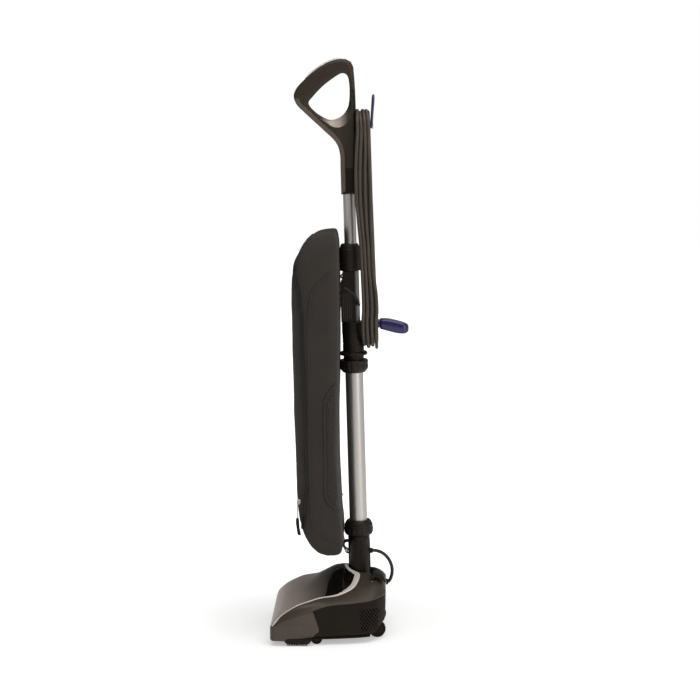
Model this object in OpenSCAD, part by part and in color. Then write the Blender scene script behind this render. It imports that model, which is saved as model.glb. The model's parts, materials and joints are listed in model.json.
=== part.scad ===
// Lightweight upright vacuum cleaner. A wide, low floor head carries a brush roll, a motor and
// a fan. A jointed neck leads the air into two aluminium tubes, and a soft zipped bag hangs in
// front of them. A loop handle sits on top, and the power cord is wound on two swivel hooks
// behind the tubes.
// +Z is up, the head points to -Y, and x = 0 is the plane between the left and right halves.
// The handle assembly is drawn upright with its origin at the neck's pivot, then leant forward.

/* [Handle assembly] */
// Forward lean of the parked handle, degrees
handle_lean = 1.65; // [1.4:0.05:1.9]
// Height of the neck's pivot above the floor
pivot_z = 75; // [74:0.5:76]
// Outside diameter of the lower tube
lower_tube_d = 38; // [37:0.5:38.5]
// Outside diameter of the upper tube
upper_tube_d = 25.4; // [24:0.2:26]
// Wall thickness of both tubes
tube_wall = 1.3; // [1:0.1:1.8]
// Thickness of the loop handle, from left to right
handle_t = 32; // [30:1:34]

/* [Bag] */
// Width of the bag, from left to right
bag_w = 216; // [200:2:224]
// Thickness of the bag's padded wall
bag_wall = 4; // [3:0.5:5]

/* [Floor head] */
// Wall thickness of the head's mouldings
wall = 3; // [2.4:0.2:3.4]
// Radius of the rear wheels
rear_wheel_r = 18; // [17.5:0.5:18]
// Radius of the front wheels
front_wheel_r = 12; // [11.5:0.5:12]
// Radius of the brush roll over its bristles
brush_r = 20; // [19:0.5:20.5]

/* [Cord] */
// Diameter of the power cord
cord_d = 7.2; // [6.8:0.1:7.4]
// Width of the wound hank of cord
hank_w = 84; // [82:1:86]
// Length of the wound hank of cord
hank_h = 500; // [498:1:502]

/* [Hidden] */
$fn = 64;

// Running clearance between a turning part and what it turns on
run_gap = 0.05;
// Gap between neighbouring mouldings
seam = 0.15;

// Pivot of the neck
pivot_y = 43;
neck_r = 22.5;
trunnion_r = 27;
trunnion_w = 48;
pivot_pin_r = 8;

// Heights along the handle assembly, from the pivot
neck_top = 134;
low_collar_top = 166;
nut_bottom = 485;
nut_top = 512;
dock_top = 593;
collar_bottom = 701;
collar_top = 758;
stem_bottom = 862;
tube_top = 900;
upper_hook_z = 1004;
lower_hook_z = 587;
spout_z = 640;

// Stations along the head: [y, crown height, shoulder x, shoulder z, ledge x, ledge z]
HEAD = [[-143, 44, 112, 44, 132, 41], [-141, 49, 118, 49, 138, 43], [-136, 56, 121, 56, 142, 46],
        [-123, 69, 122, 68, 143.5, 52], [-110, 78.5, 122, 76, 143.5, 58],
        [-98, 85, 121, 82, 143, 63], [-85, 92, 119, 87.5, 142, 67.5], [-72, 100, 116, 91, 140, 71.5],
        [-60, 108.5, 112, 94, 138.5, 75], [-47, 118, 108, 97.5, 136.5, 79.5],
        [-34, 127, 104, 100, 134.5, 84], [-14, 138.5, 98, 103, 131.5, 88],
        [0, 142, 92, 106, 129.5, 89], [10, 143, 86, 109, 127.5, 89.5],
        [25, 140, 78, 113.5, 124.5, 90], [40, 137, 74, 119, 121, 91], [56, 135, 70, 124, 116, 92],
        [70, 132, 68, 127, 109, 94], [80, 129, 66, 126, 101, 96.5], [88, 124, 64, 121.5, 91, 99],
        [94, 115, 62, 113, 82, 100], [97, 107, 60, 106, 75, 99]];
head_bottom = 16;
plate_t = 3;
screw_h = 1.4;
screw_inset = 0.1;
// Centres of the screws that hold the base plate: [x, y]
SCREWS = [[-90, 40], [90, 40], [-100, -70], [100, -70], [0, -70]];
// Half outline of the line between the hood and the band behind it: [x, y]
TRIM = [[130, -150], [133, -134], [131, -123], [129.5, -110], [128, -98], [126, -85], [124, -72],
        [122, -60], [120, -47], [118, -34], [112, -14], [105, 0], [95, 10], [82, 19], [66, 26.5],
        [50, 31], [38, 33], [26, 34]];
// Half outline of the hood's own rear edge, inside the trim: [x, y]
HOOD_EDGE = [[113, -31], [104, -28.5], [92, -27], [74, -26], [55, -24.5], [43, -22], [35, -18.5],
             [30, -13], [27.5, -6], [26.5, 2], [26, 11.5]];
trim_w = 2.4;

brush_y = -110;
brush_z = 25;
brush_core_r = 11;
brush_half = 119;
motor_pulley_r = 5;
motor_y = -28;
motor_z = 64;
motor_r = 32;
belt_x = 84;
belt_w = 9;
rear_wheel_y = 79.5;
rear_wheel_x = 58;
front_wheel_y = -47;
front_wheel_x = 116;
wheel_w = 10;
axle_r = 3;

// Outline of the loop handle, from the rear of the stem round to its front: [y, z]
LOOP_OUTER = [[15, stem_bottom], [15, 915], [16.5, 955], [18.5, 1000], [19, 1050], [18, 1098],
              [15, 1126], [5, 1139], [-11, 1143], [-32, 1138.5], [-58, 1125], [-82, 1106],
              [-102, 1086], [-109, 1069], [-103, 1051], [-88, 1035], [-68, 1015.5], [-48, 996],
              [-25, 972], [-16.5, 948], [-16, 915], [-16, stem_bottom]];
// Outline of the finger opening: [y, z]
LOOP_HOLE = [[-79, 1053], [-68, 1068], [-50, 1086], [-30, 1101], [-9, 1113], [3, 1108.5], [7, 1092],
             [7, 1065], [3, 1043], [-8, 1027], [-22, 1019], [-36, 1017.5], [-50, 1023.5],
             [-67, 1036]];
// Side outline of the bag, from the top of its rear face round the front: [y, z]
BAG_SIDE = [[-27, 786], [-42, 788], [-67, 782], [-84, 772], [-98, 758], [-110, 738], [-117, 715],
            [-121, 690], [-123.5, 640], [-125, 540], [-125.5, 400], [-125, 260], [-122.5, 207],
            [-117.5, 173], [-104, 138], [-84, 112], [-62, 100], [-43, 101.5], [-34, 112], [-33, 150],
            [-36.5, 210], [-37.5, 330], [-34, 430], [-29, 560], [-26, 700]];
bag_bottom = 99;
bag_top = 788;
bag_corner = 62;
switch_c = [3, 1125];
switch_r = 17;

// The hank leans back a little towards its lower end
hank_mid = [24.5, 788];
hank_tilt = 0.8;
hank_depth = 29;
hank_wall = 16;
// Route of the cord from its strain relief down to the hank, in the handle's frame
START = [[0, 30, 934], [0, 30, 918], [0, 30, 900], [-1, 30, 882], [-3, 30, 864],
         [-6, 29.9, 846], [-10, 29.8, 828], [-14, 29.6, 810], [-18, 29.4, 793], [-22, 29.2, 776],
         [-26, 29.1, 760], [-29, 29, 744]];
// Route of the cord from the hank down to its plug
END = [[-38, 27, 905], [-41, 27.5, 890], [-44.5, 28.5, 874], [-48, 29.5, 858], [-51.5, 30.4, 841],
       [-54, 31, 823], [-55, 31, 806]];
// Route of the lead between the neck and the head, in the head's frame
LEAD_END = [-41, 102.5, 94];
LEAD = [[0, 69.1, 173], [0, 76.5, 172.3], [-1, 84.5, 169.8], [-4, 92.5, 164.5], [-8, 99.5, 157],
        [-13, 105, 147.5], [-19, 108.7, 137], [-26, 110.5, 125.5], [-33, 110, 113.5],
        [-38.5, 107, 101.5], LEAD_END];
neck_gland_z = 97;

// ---------------------------------------------------------------- shared functions

// Point at t on the curve from p1 to p2 that passes smoothly through all four points
function spline(p0, p1, p2, p3, t) =
    0.5 * (2 * p1 + (p2 - p0) * t + (2 * p0 - 5 * p1 + 4 * p2 - p3) * t * t
           + (3 * p1 - p0 - 3 * p2 + p3) * t * t * t);
function closed_curve(p, steps) =
    let (n = len(p))
    [for (i = [0:n - 1]) for (k = [0:steps - 1])
        spline(p[(i + n - 1) % n], p[i], p[(i + 1) % n], p[(i + 2) % n], k / steps)];
function open_curve(p, steps) =
    let (n = len(p))
    concat([for (i = [0:n - 2]) for (k = [0:steps - 1])
        spline(p[max(i - 1, 0)], p[i], p[i + 1], p[min(i + 2, n - 1)], k / steps)], [p[n - 1]]);
// Outline of two circles, r0 at the origin and r1 at height d, joined by their tangents
function tapered_capsule(r0, r1, d) =
    let (s = asin((r0 - r1) / d))
    concat([for (k = [0:16]) let (a = 180 - s + k * (180 + 2 * s) / 16) r0 * [cos(a), sin(a)]],
           [for (k = [0:16]) let (a = s + k * (180 - 2 * s) / 16)
               [r1 * cos(a), d + r1 * sin(a)]]);
function unit(v) = v / norm(v);
function mirrored(half) =
    concat(half, [for (i = [len(half) - 1:-1:0]) [-half[i][0], half[i][1]]]);

// Solid through equal rings of points
module loft(rings) {
    n = len(rings[0]);
    m = len(rings);
    polyhedron([for (r = rings) each r],
        concat([[for (i = [0:n - 1]) i]],
               [for (j = [0:m - 2]) for (i = [0:n - 1]) let (k = (i + 1) % n)
                   [j * n + i, (j + 1) * n + i, (j + 1) * n + k, j * n + k]],
               [[for (i = [n - 1:-1:0]) (m - 1) * n + i]]), convexity = 8);
}

// Round tube swept along a route, with a ring every step or so
module sweep(route, d, sides, steps) {
    p = open_curve(route, steps);
    m = len(p);
    rings = [for (j = [0:m - 1])
        let (t = unit(p[min(j + 1, m - 1)] - p[max(j - 1, 0)]),
             u = unit(cross(t, [1, 0.2, 0.1])),
             v = cross(t, u))
        [for (i = [0:sides - 1]) p[j] + d / 2 * (u * cos(i * 360 / sides)
                                                 + v * sin(i * 360 / sides))]];
    loft(rings);
}

// Cylinder along X from x0 to x1
module bar_x(r, x0, x1, y = 0, z = 0) {
    translate([x0, y, z]) rotate([0, 90, 0]) cylinder(r = r, h = x1 - x0);
}
// Cylinder along Y from y0 to y1
module bar_y(r, y0, y1, x = 0, z = 0) {
    translate([x, y0, z]) rotate([-90, 0, 0]) cylinder(r = r, h = y1 - y0);
}
module block(low, high) {
    translate(low) cube(high - low);
}
// Outline in [y, z] extruded along X from x0 to x1
module slab_x(points, x0, x1) {
    translate([x0, 0, 0]) rotate([90, 0, 90]) linear_extrude(x1 - x0) polygon(points);
}
module both_sides() {
    children();
    mirror([1, 0, 0]) children();
}
module side(s) {
    if (s > 0) children(); else mirror([1, 0, 0]) children();
}
// Places the handle assembly on the head
module leant() {
    translate([0, pivot_y, pivot_z]) rotate([handle_lean, 0, 0]) children();
}

// ---------------------------------------------------------------- floor head

// Outline of the head seen from above, drawn in by an inset
function head_plan(inset) =
    let (half = [for (s = HEAD) [s[4] - inset, max(min(s[0], 97 - inset), inset - 143)]])
    mirrored(half);
// The block under the ledge line
module head_block(inset, top_gap = 0) {
    ledge = concat([for (s = HEAD) [s[0], s[5] - top_gap]], [[97, 0], [-143, 0]]);
    intersection() {
        translate([0, 0, head_bottom]) linear_extrude(100) polygon(head_plan(inset));
        slab_x(ledge, -200, 200);
    }
}
// One cross-section above the ledge, lowered and drawn in by t
function head_ring(s, t, y, drop) =
    let (a = [-s[2] + t, s[3] - t], b = [0, s[1] - t], c = [s[2] - t, s[3] - t],
         d = [s[4] - t, s[5]], e = [s[4] + 6, s[5] - 14],
         half = concat([for (k = [0:5]) spline(a, b, c, d, k / 6)],
                       [for (k = [0:5]) spline(b, c, d, e, k / 6)], [d], [[d[0], s[5] - drop]]))
    [for (p = concat([for (i = [len(half) - 1:-1:1]) [-half[i][0], half[i][1]]], half))
        [p[0], y, p[1]]];
// Upper body of the head above the ledge
module head_dome(t, drop) {
    last = len(HEAD) - 1;
    loft([for (i = [t > 0 ? 1 : 0:last])
        head_ring(HEAD[i], t, HEAD[i][0] + (i == 1 ? t : i == last ? -t : 0), drop)]);
}
module head_shell() {
    difference() {
        translate([0, 0, seam]) head_dome(0, 0.01);
        head_dome(wall, 12);
    }
}
// Everything inside the trim line, drawn in by an inset
module trim_region(inset) {
    half = [for (p = TRIM) [max(p[0] - inset, 0), p[1] - (p[1] > 0 ? inset : 0)]];
    translate([0, 0, 30]) linear_extrude(130) polygon(mirrored(half));
}
// The hood's part of that region, up to the hood's own rear edge
module hood_region(inset) {
    front = [for (p = TRIM) if (p[1] < -33) [p[0] - inset, max(p[1], -142.8)]];
    rear = [for (p = HOOD_EDGE) [p[0] - inset, p[1] - inset]];
    translate([0, 0, 30]) linear_extrude(130) polygon(mirrored(concat(front, rear)));
}
// Space that the neck and its trunnion need
module neck_slot(gap) {
    half = trunnion_w / 2 + gap;
    block([-half, 17 - gap, 62], [half, 110, 180]);
    bar_x(trunnion_r + gap, -half, half, pivot_y, pivot_z);
}
module end_cap_zone(gap) {
    zone = [[-150, 10], [-38 - gap, 10], [-40 - gap, 30], [-55 - gap, 78], [-150, 90]];
    both_sides() slab_x(zone, 136 + gap, 160);
}
module rear_corner() {
    slab_x([[64, 0], [100, 0], [100, 42], [91, 35], [78, 24], [66, 15.9], [64, 12]], -200, 200);
}
module chassis() {
    color("#27241f") difference() {
        head_block(0);
        difference() {
            head_block(wall);
            block([-150, -86, 0], [150, -83, 62]);
        }
        head_inner_lid();
        block([-150, -150, 10], [-131, -86, 100]);
        block([131, -150, 10], [150, -86, 100]);
        end_cap_zone(0);
        neck_slot(1.5);
        block([belt_x - 3, -90, 16], [belt_x + belt_w + 3, -80, 60]);
        rear_corner();
        both_sides() bar_y(4.2, 90, 100, 30, 50);
    }
}
// Clears the chassis above its own walls
module head_inner_lid() {
    block([-128, -140, 62], [128, -83, 100]);
}
module base_plate() {
    color("#1d1b18") difference() {
        union() {
            difference() {
                translate([0, 0, head_bottom - plate_t - seam])
                    linear_extrude(plate_t) polygon(head_plan(1));
                block([-124, -138, 0], [124, -89, 40]);
                rear_corner();
                both_sides() block([135, -150, 0], [160, -40, 40]);
            }
            both_sides() {
                wheel_ears(front_wheel_x, front_wheel_y, front_wheel_r, 1);
                wheel_ears(rear_wheel_x, rear_wheel_y, rear_wheel_r, 0);
            }
            for (x = [-30, 46])
                block([x, motor_y - 26, head_bottom - 1], [x + 8, motor_y + 26, 54]);
        }
        both_sides() {
            wheel_well(front_wheel_x, front_wheel_y, front_wheel_r);
            wheel_well(rear_wheel_x, rear_wheel_y, rear_wheel_r);
            bar_x(axle_r, front_wheel_x - 6, front_wheel_x + wheel_w + 6, front_wheel_y,
                  front_wheel_r);
            // The front axle goes in from below
            block([front_wheel_x - 6, front_wheel_y - axle_r, 0],
                  [front_wheel_x + wheel_w + 6, front_wheel_y + axle_r,
                   front_wheel_r + axle_r]);
            bar_x(axle_r, rear_wheel_x - 6, rear_wheel_x + wheel_w + 6, rear_wheel_y,
                  rear_wheel_r);
        }
        bar_x(motor_r + 0.1, -60, 80, motor_y, motor_z);
        for (p = SCREWS)
            translate([p[0], p[1], 0])
                cylinder(r = 4.05, h = head_bottom - plate_t - seam + screw_inset + screw_h);
    }
}
// Two ears that hold a wheel's axle, joined to the plate in front of the wheel
module wheel_ears(x, y, r, upright) {
    for (dx = [-5, wheel_w + 1])
        slab_x(upright ? [[y - 8, 12.9], [y + 8, 12.9], [y + 8, 20], [y - 8, 20]]
                       : [[50, 12.9], [y - 8, 12.9], [y + 6, 12.9], [y + 6, 24], [y - 6, 24],
                          [50, 16]], x + dx, x + dx + 4);
}
module wheel_well(x, y, r) {
    block([x - 1, y - r - 2, 0], [x + wheel_w + 1, y + r + 2, 40]);
}
module top_cover() {
    color("#5c554e") difference() {
        head_shell();
        trim_region(-trim_w / 2 - seam);
        neck_slot(1.5);
        block([27, 62, 108], [64, 110, 150]);
        block([-26, 12, 90], [26, 60, 160]);
    }
}
module hood() {
    color("#b9aca6") intersection() {
        head_shell();
        hood_region(trim_w / 2 + seam);
    }
}
module recess_cover() {
    color("#14120f") difference() {
        intersection() {
            head_shell();
            trim_region(trim_w / 2 + seam);
        }
        hood_region(trim_w / 2);
        block([-150, -150, 0], [150, -36, 160]);
        neck_slot(1.5);
        block([-26, 16, 90], [26, 60, 160]);
    }
}
module hood_trim() {
    color("#dccdc8") difference() {
        intersection() {
            difference() {
                translate([0, 0, seam + 0.6]) head_dome(0, 0.01);
                translate([0, 0, 0.6]) head_dome(wall, 12);
            }
            trim_region(-trim_w / 2);
        }
        trim_region(trim_w / 2);
        block([-150, -150, 0], [150, -134, 60]);
        block([-26, 12, 90], [26, 60, 160]);
    }
}
module end_cap(s) {
    color("#4b4641") intersection() {
        head_block(0, seam);
        side(s) difference() {
            slab_x([[-150, 10], [-38 - seam, 10], [-40 - seam, 30], [-55 - seam, 78],
                    [-150, 90]], 131 + seam, 160);
            block([100, -86 - seam, 0], [136 + seam, 0, 100]);
        }
    }
}
module edge_brush_holders() {
    color("#22201c") both_sides()
        slab_x([[-119, head_bottom - seam], [-56, head_bottom - seam], [-61, 5], [-111, 5]], 136, 144);
}
module edge_bristles() {
    color("#3a3631") both_sides() block([137.5, -108, 0.4], [142.5, -64, 4.9]);
}
module front_bumper() {
    color("#1a1815") difference() {
        translate([0, -144.4, 0]) block([-126, 0, 20], [126, 1.35, 36]);
        both_sides() translate([128, -150, 0]) rotate([0, 0, 40]) cube([20, 20, 60]);
    }
}
module brush_roll() {
    color("#35312c") {
        difference() {
            bar_x(brush_core_r, -brush_half, brush_half, brush_y, brush_z);
            bar_x(axle_r, -brush_half - 1, brush_half + 1, brush_y, brush_z);
        }
        bar_x(axle_r, -brush_half - 9, brush_half + 9, brush_y, brush_z);
    }
}
// Short bristle tufts in two winding rows, with a gap for the belt
module brush_bristles() {
    color("#14120f") for (row = [0:1]) for (i = [0:27]) {
        x = -112 + i * 8;
        if (x + 5 < belt_x - 3 || x > belt_x + belt_w + 3)
            translate([x, brush_y, brush_z]) rotate([row * 180 + i * 13, 0, 0])
                translate([0, -2, brush_core_r]) cube([5, 4, brush_r - brush_core_r]);
    }
}
module brush_bearings() {
    color("#8d8a86") both_sides() difference() {
        translate([brush_half + 0.6, brush_y, brush_z]) rotate([0, 90, 0])
            cylinder(r = 9, h = 130.8 - brush_half - 0.6);
        bar_x(axle_r + run_gap, brush_half, 131, brush_y, brush_z);
    }
}
module belt_outline(grow) {
    hull() {
        translate([brush_y, brush_z]) circle(r = brush_core_r + grow);
        translate([motor_y, motor_z]) circle(r = motor_pulley_r + grow);
    }
}
module drive_belt() {
    color("#1b1917") translate([belt_x, 0, 0]) rotate([90, 0, 90]) linear_extrude(belt_w)
        difference() {
            belt_outline(1.7);
            belt_outline(0.1);
        }
}
module motor_housing() {
    color("#6f7377") difference() {
        bar_x(motor_r, -38, 62, motor_y, motor_z);
        bar_x(motor_r - 2.5, -35, 59, motor_y, motor_z);
        bar_x(4 + run_gap, -39, 63, motor_y, motor_z);
    }
}
module armature() {
    color("#b4b8bb") {
        bar_x(4, -74, belt_x + belt_w + 3, motor_y, motor_z);
        bar_x(24, -24, 40, motor_y, motor_z);
        bar_x(motor_pulley_r, belt_x - 1, belt_x + belt_w + 1, motor_y, motor_z);
        bar_x(10, 44, 54, motor_y, motor_z);
    }
}
module fan() {
    color("#3b3f42") difference() {
        union() {
            bar_x(30, -54, -51, motor_y, motor_z);
            bar_x(10, -70, -51, motor_y, motor_z);
            for (i = [0:6]) translate([0, motor_y, motor_z]) rotate([i * 360 / 7, 0, 0])
                block([-68, -1, 8], [-53, 1, 29]);
        }
        bar_x(4, -90, -40, motor_y, motor_z);
    }
}
module fan_housing() {
    color("#2f2c28") difference() {
        bar_x(36, -78, -44, motor_y, motor_z);
        bar_x(32.5, -75, -47, motor_y, motor_z);
        bar_x(5, -60, -40, motor_y, motor_z);
        bar_x(14, -80, -70, motor_y, motor_z);
        block([-70, motor_y - 5, motor_z - 27], [-52, motor_y + 60, motor_z - 12]);
    }
}
// Leads the air from the fan to the hollow trunnion
module neck_duct() {
    color("#2b2824") difference() {
        union() {
            block([-72, 10, 30], [-50, 24, 56]);
            block([-72, 4, 30], [14, 14.5, 56]);
        }
        block([-69, 5, 33], [-53, 25, 53]);
        block([-69, 7, 33], [11, 13, 53]);
        block([-69, -2, 37], [-53, 6, 52]);
        block([-10, 7, 33], [10, 20, 53]);
        bar_x(36.3, -80, -44, motor_y, motor_z);
    }
}
module wheel(x, y, r) {
    difference() {
        union() {
            bar_x(r, x, x + wheel_w, y, r);
            bar_x(5, x - 0.6, x + wheel_w + 0.6, y, r);
        }
        bar_x(axle_r + run_gap, x - 1, x + wheel_w + 1, y, r);
    }
}
module rear_wheel(s) {
    color("#191714") side(s) wheel(rear_wheel_x, rear_wheel_y, rear_wheel_r);
}
module front_wheel(s) {
    color("#191714") side(s) wheel(front_wheel_x, front_wheel_y, front_wheel_r);
}
module wheel_axles() {
    color("#a9adb0") both_sides() {
        bar_x(axle_r, front_wheel_x - 5, front_wheel_x + wheel_w + 5, front_wheel_y,
              front_wheel_r);
        bar_x(axle_r, rear_wheel_x - 5, rear_wheel_x + wheel_w + 5, rear_wheel_y, rear_wheel_r);
    }
}
pedal_y = 68;
pedal_z = 119;
module release_pedal() {
    color("#1d1b18") difference() {
        union() {
            slab_x([[64, 125], [66, 132], [71, 137], [79, 138.5], [88, 134], [95, 127], [98, 119],
                    [96, 117], [90, 123], [78, 129], [70, 127], [68, 124]], 30, 61);
            for (x = [31, 56]) {
                bar_x(5.5, x, x + 4, pedal_y, pedal_z);
                block([x, 64.5, pedal_z], [x + 4, 71.5, 129]);
            }
        }
        bar_x(2.5 + run_gap, 20, 70, pedal_y, pedal_z);
    }
}
module pivot_yokes() {
    color("#2b2824") both_sides() difference() {
        slab_x([[22, head_bottom], [64, head_bottom], [60, 84], [52, 94], [34, 94], [26, 84]],
               25.6, 32);
        bar_x(pivot_pin_r, 20, 40, pivot_y, pivot_z);
    }
}
module hinge_pins() {
    color("#a9adb0") {
        both_sides() bar_x(pivot_pin_r, 18, 32, pivot_y, pivot_z);
        bar_x(2.5, 27.5, 63.5, pedal_y, pedal_z);
    }
}
module base_screws() {
    color("#9b9ea0") for (p = SCREWS)
        translate([p[0], p[1], head_bottom - plate_t - seam + screw_inset])
            cylinder(r = 4, h = screw_h);
}
module head_gland() {
    color("#181613") translate([LEAD_END[0], 97.05, LEAD_END[2]]) rotate([-90, 0, 0])
        cylinder(r1 = 7.2, r2 = 5, h = LEAD_END[1] - 97.05);
}
module neck_gland() {
    color("#181613") leant() bar_y(6.5, neck_r + 0.05, neck_r + 6, 0, neck_gland_z);
}
module motor_lead() {
    color("#3d3833") sweep(LEAD, 7, 10, 2);
}

// ---------------------------------------------------------------- neck and tubes

module neck() {
    color("#1f1d1a") leant() difference() {
        union() {
            cylinder(r = neck_r, h = neck_top);
            bar_x(trunnion_r, -trunnion_w / 2, trunnion_w / 2);
        }
        translate([0, 0, 104]) cylinder(r = lower_tube_d / 2 + 0.02, h = 40);
        translate([0, 0, -8]) cylinder(r = lower_tube_d / 2 - 3, h = 120);
        bar_x(pivot_pin_r + run_gap, -40, 40);
        rotate([handle_lean, 0, 0]) bar_y(12, -40, 0, 0, -8);
    }
}
module bag_catch() {
    color("#15130f") leant() {
        difference() {
            block([-6, -31, 100], [6, -19, 112]);
            block([-7, -28, 105], [7, -25, 113]);
            cylinder(r = neck_r + 0.02, h = 200);
        }
    }
}
module low_collar() {
    color("#191714") leant() translate([0, 0, neck_top + seam]) difference() {
        union() {
            cylinder(r = 29, h = 25);
            translate([0, 0, 25]) cylinder(r1 = 29, r2 = 25, h = low_collar_top - neck_top - 25);
            for (a = [0:30:330]) rotate([0, 0, a]) translate([29, 0, 3])
                cylinder(r = 1.6, h = 18);
        }
        translate([0, 0, -1]) cylinder(r = lower_tube_d / 2 + run_gap, h = 60);
    }
}
module lower_tube() {
    color("silver") leant() difference() {
        translate([0, 0, 104.1]) cylinder(r = lower_tube_d / 2, h = 560 - 104);
        translate([0, 0, 100]) cylinder(r = lower_tube_d / 2 - tube_wall, h = 500);
    }
}
module mid_nut() {
    color("#1b1916") leant() difference() {
        union() {
            translate([0, 0, nut_bottom]) cylinder(r1 = 24, r2 = 30.5, h = 9);
            translate([0, 0, nut_bottom + 9]) cylinder(r = 30.5, h = nut_top - nut_bottom - 9);
        }
        translate([0, 0, nut_bottom - 1]) cylinder(r = lower_tube_d / 2 + run_gap, h = 40);
    }
}
// Socket that joins the lower tube to the narrower sleeve, with the lower hook's boss
module lower_dock() {
    color("#1c1a17") leant() difference() {
        union() {
            translate([0, 0, nut_top + seam]) cylinder(r = 21.5, h = 12);
            translate([0, 0, 522]) cylinder(r = 29.5, h = 7);
            translate([0, 0, 529]) cylinder(r = 22.5, h = dock_top - 529);
        }
        translate([0, 0, 500]) cylinder(r = lower_tube_d / 2 + 0.02, h = 60.1);
        translate([0, 0, 540]) cylinder(r = 15.92, h = 80);
    }
}
module joiner_sleeve() {
    color("#8f8a85") leant() difference() {
        translate([0, 0, 560.2]) cylinder(r = 15.9, h = 150);
        translate([0, 0, 550]) cylinder(r = upper_tube_d / 2 + 0.02, h = 200);
        bar_y(13.5, -30, 0, 0, spout_z);
    }
}
// Half shell in front of the sleeve, with the spout that the bag pushes onto
module bag_dock() {
    color("#15130f") leant() difference() {
        union() {
            slab_x([[-24, dock_top + seam], [7, dock_top + seam], [7, 650], [-1, 668], [-1, 701],
                    [-19, 701], [-19, 684], [-24, 676]], -19, 19);
            bar_y(16.5, -52, -20, 0, spout_z);
            slab_x([[-18, 683], [-25.4, 689], [-18, 696], [-18, 692.5], [-21.5, 689.5],
                    [-18, 686.5]], -8, 8);
        }
        translate([0, 0, 560]) cylinder(r = 15.95, h = 200);
        bar_y(13.5, -60, 0, 0, spout_z);
    }
}
module upper_collar() {
    color("#1f1d1a") leant() translate([0, -2, 0]) difference() {
        union() {
            translate([0, 0, collar_bottom + seam]) cylinder(r = 22, h = 46);
            translate([0, 0, collar_bottom + 46]) cylinder(r1 = 22, r2 = 18.5, h = 11);
        }
        translate([0, 2, 690]) cylinder(r = 15.92, h = 20.3);
        translate([0, 2, 690]) cylinder(r = upper_tube_d / 2 + 0.02, h = 90);
    }
}
module upper_tube() {
    color("silver") leant() difference() {
        translate([0, 0, 565]) cylinder(r = upper_tube_d / 2, h = tube_top - 565);
        translate([0, 0, 560]) cylinder(r = upper_tube_d / 2 - tube_wall, h = 400);
        bar_y(13.5, -30, 0, 0, spout_z);
    }
}

// ---------------------------------------------------------------- loop handle and hooks

module loop_outline() {
    difference() {
        polygon(open_curve(LOOP_OUTER, 4));
        polygon(closed_curve(LOOP_HOLE, 4));
    }
}
module switch_sector(r, a0, a1, w) {
    arc = [for (a = [a0:(a1 - a0) / 12:a1]) switch_c + r * [cos(a), sin(a)]];
    slab_x(concat([switch_c], arc), -w / 2, w / 2);
}
module handle_half(s) {
    color("#3c3731") leant() difference() {
        side(s) rotate([90, 0, 90]) linear_extrude(handle_t / 2) loop_outline();
        translate([0, 0, 800]) cylinder(r = upper_tube_d / 2 + 0.02, h = tube_top - 799);
        switch_sector(switch_r + 2, 15, 125, 18);
        bar_x(switch_r - 9, -9, 9, switch_c[0], switch_c[1]);
        bar_y(4, 4, 40, 0, upper_hook_z);
        for (p = [[-96, 1066], [2, 1000], [-4, 920]])
            bar_x(2, -20, 20, p[0], p[1]);
    }
}
module grip_strip() {
    color("#8f8c8a") leant() rotate([90, 0, 90]) linear_extrude(16, center = true)
        intersection() {
            difference() {
                offset(r = 1.7) polygon(open_curve(LOOP_OUTER, 4));
                offset(r = 0.1) polygon(open_curve(LOOP_OUTER, 4));
            }
            polygon([[-84, 1100], [-10, 1130], [-8, 1160], [-100, 1130]]);
        }
}
module power_switch() {
    color("#12100d") leant() {
        switch_sector(switch_r, 32, 108, 17);
        bar_x(switch_r - 9.3, -8.5, 8.5, switch_c[0], switch_c[1]);
    }
}
module hook_mounts() {
    color("#15130f") leant() {
        difference() {
            union() {
                block([-13, 19.2, 986], [13, 20.4, 1031]);
                block([-9, 19.2, 968], [9, 38, 984]);
                block([-9, 19.2, 984], [9, 20.4, 986]);
            }
            bar_y(4, 10, 40, 0, upper_hook_z);
        }
        difference() {
            block([-12, 20, lower_hook_z - 12], [12, 25, dock_top - 0.2]);
            cylinder(r = 22.52, h = 700);
            bar_y(3.5, 10, 40, 0, lower_hook_z);
        }
    }
}
module upper_hook() {
    color("#3c3270") leant() translate([0, 0, upper_hook_z]) difference() {
        union() {
            bar_y(17.5, 20.6, 51.2);
            intersection() {
                translate([0, 100, 0]) rotate([90, 0, 0]) linear_extrude(100)
                    polygon(tapered_capsule(19, 12.5, 52));
                slab_x([[50.4, -25], [56.4, -25], [56.6, 6], [58.4, 40], [59, 58], [57.5, 64],
                        [54, 64.6], [52, 60], [51.4, 40], [50.4, 12]], -30, 30);
            }
        }
        bar_y(4 + run_gap, 10, 60);
        bar_y(8 + run_gap, 52, 70);
    }
}
module lower_hook() {
    color("#3c3270") leant() difference() {
        union() {
            bar_y(9, 25.3, 58, 0, lower_hook_z);
            slab_x([[57.5, 576], [57.5, 598], [64, 599], [74, 598.5], [89, 595], [106, 590],
                    [115, 585], [119, 577], [116, 568], [108, 564.5], [92, 566],
                    [74, 571]], -16, 16);
        }
        bar_y(3.5 + run_gap, 10, 45, 0, lower_hook_z);
    }
}
module hook_screws() {
    color("#9b9ea0") leant() {
        bar_y(4, 6, 52.1, 0, upper_hook_z);
        bar_y(8, 52.1, 55, 0, upper_hook_z);
        bar_y(3.5, 22.6, 44.8, 0, lower_hook_z);
    }
}
module strain_relief() {
    color("#171512") leant() translate([0, 30, 934]) difference() {
        cylinder(r1 = 5, r2 = 7.5, h = 34);
        translate([0, 0, -1]) cylinder(r = cord_d / 2, h = 20);
    }
}

// ---------------------------------------------------------------- cord

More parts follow.
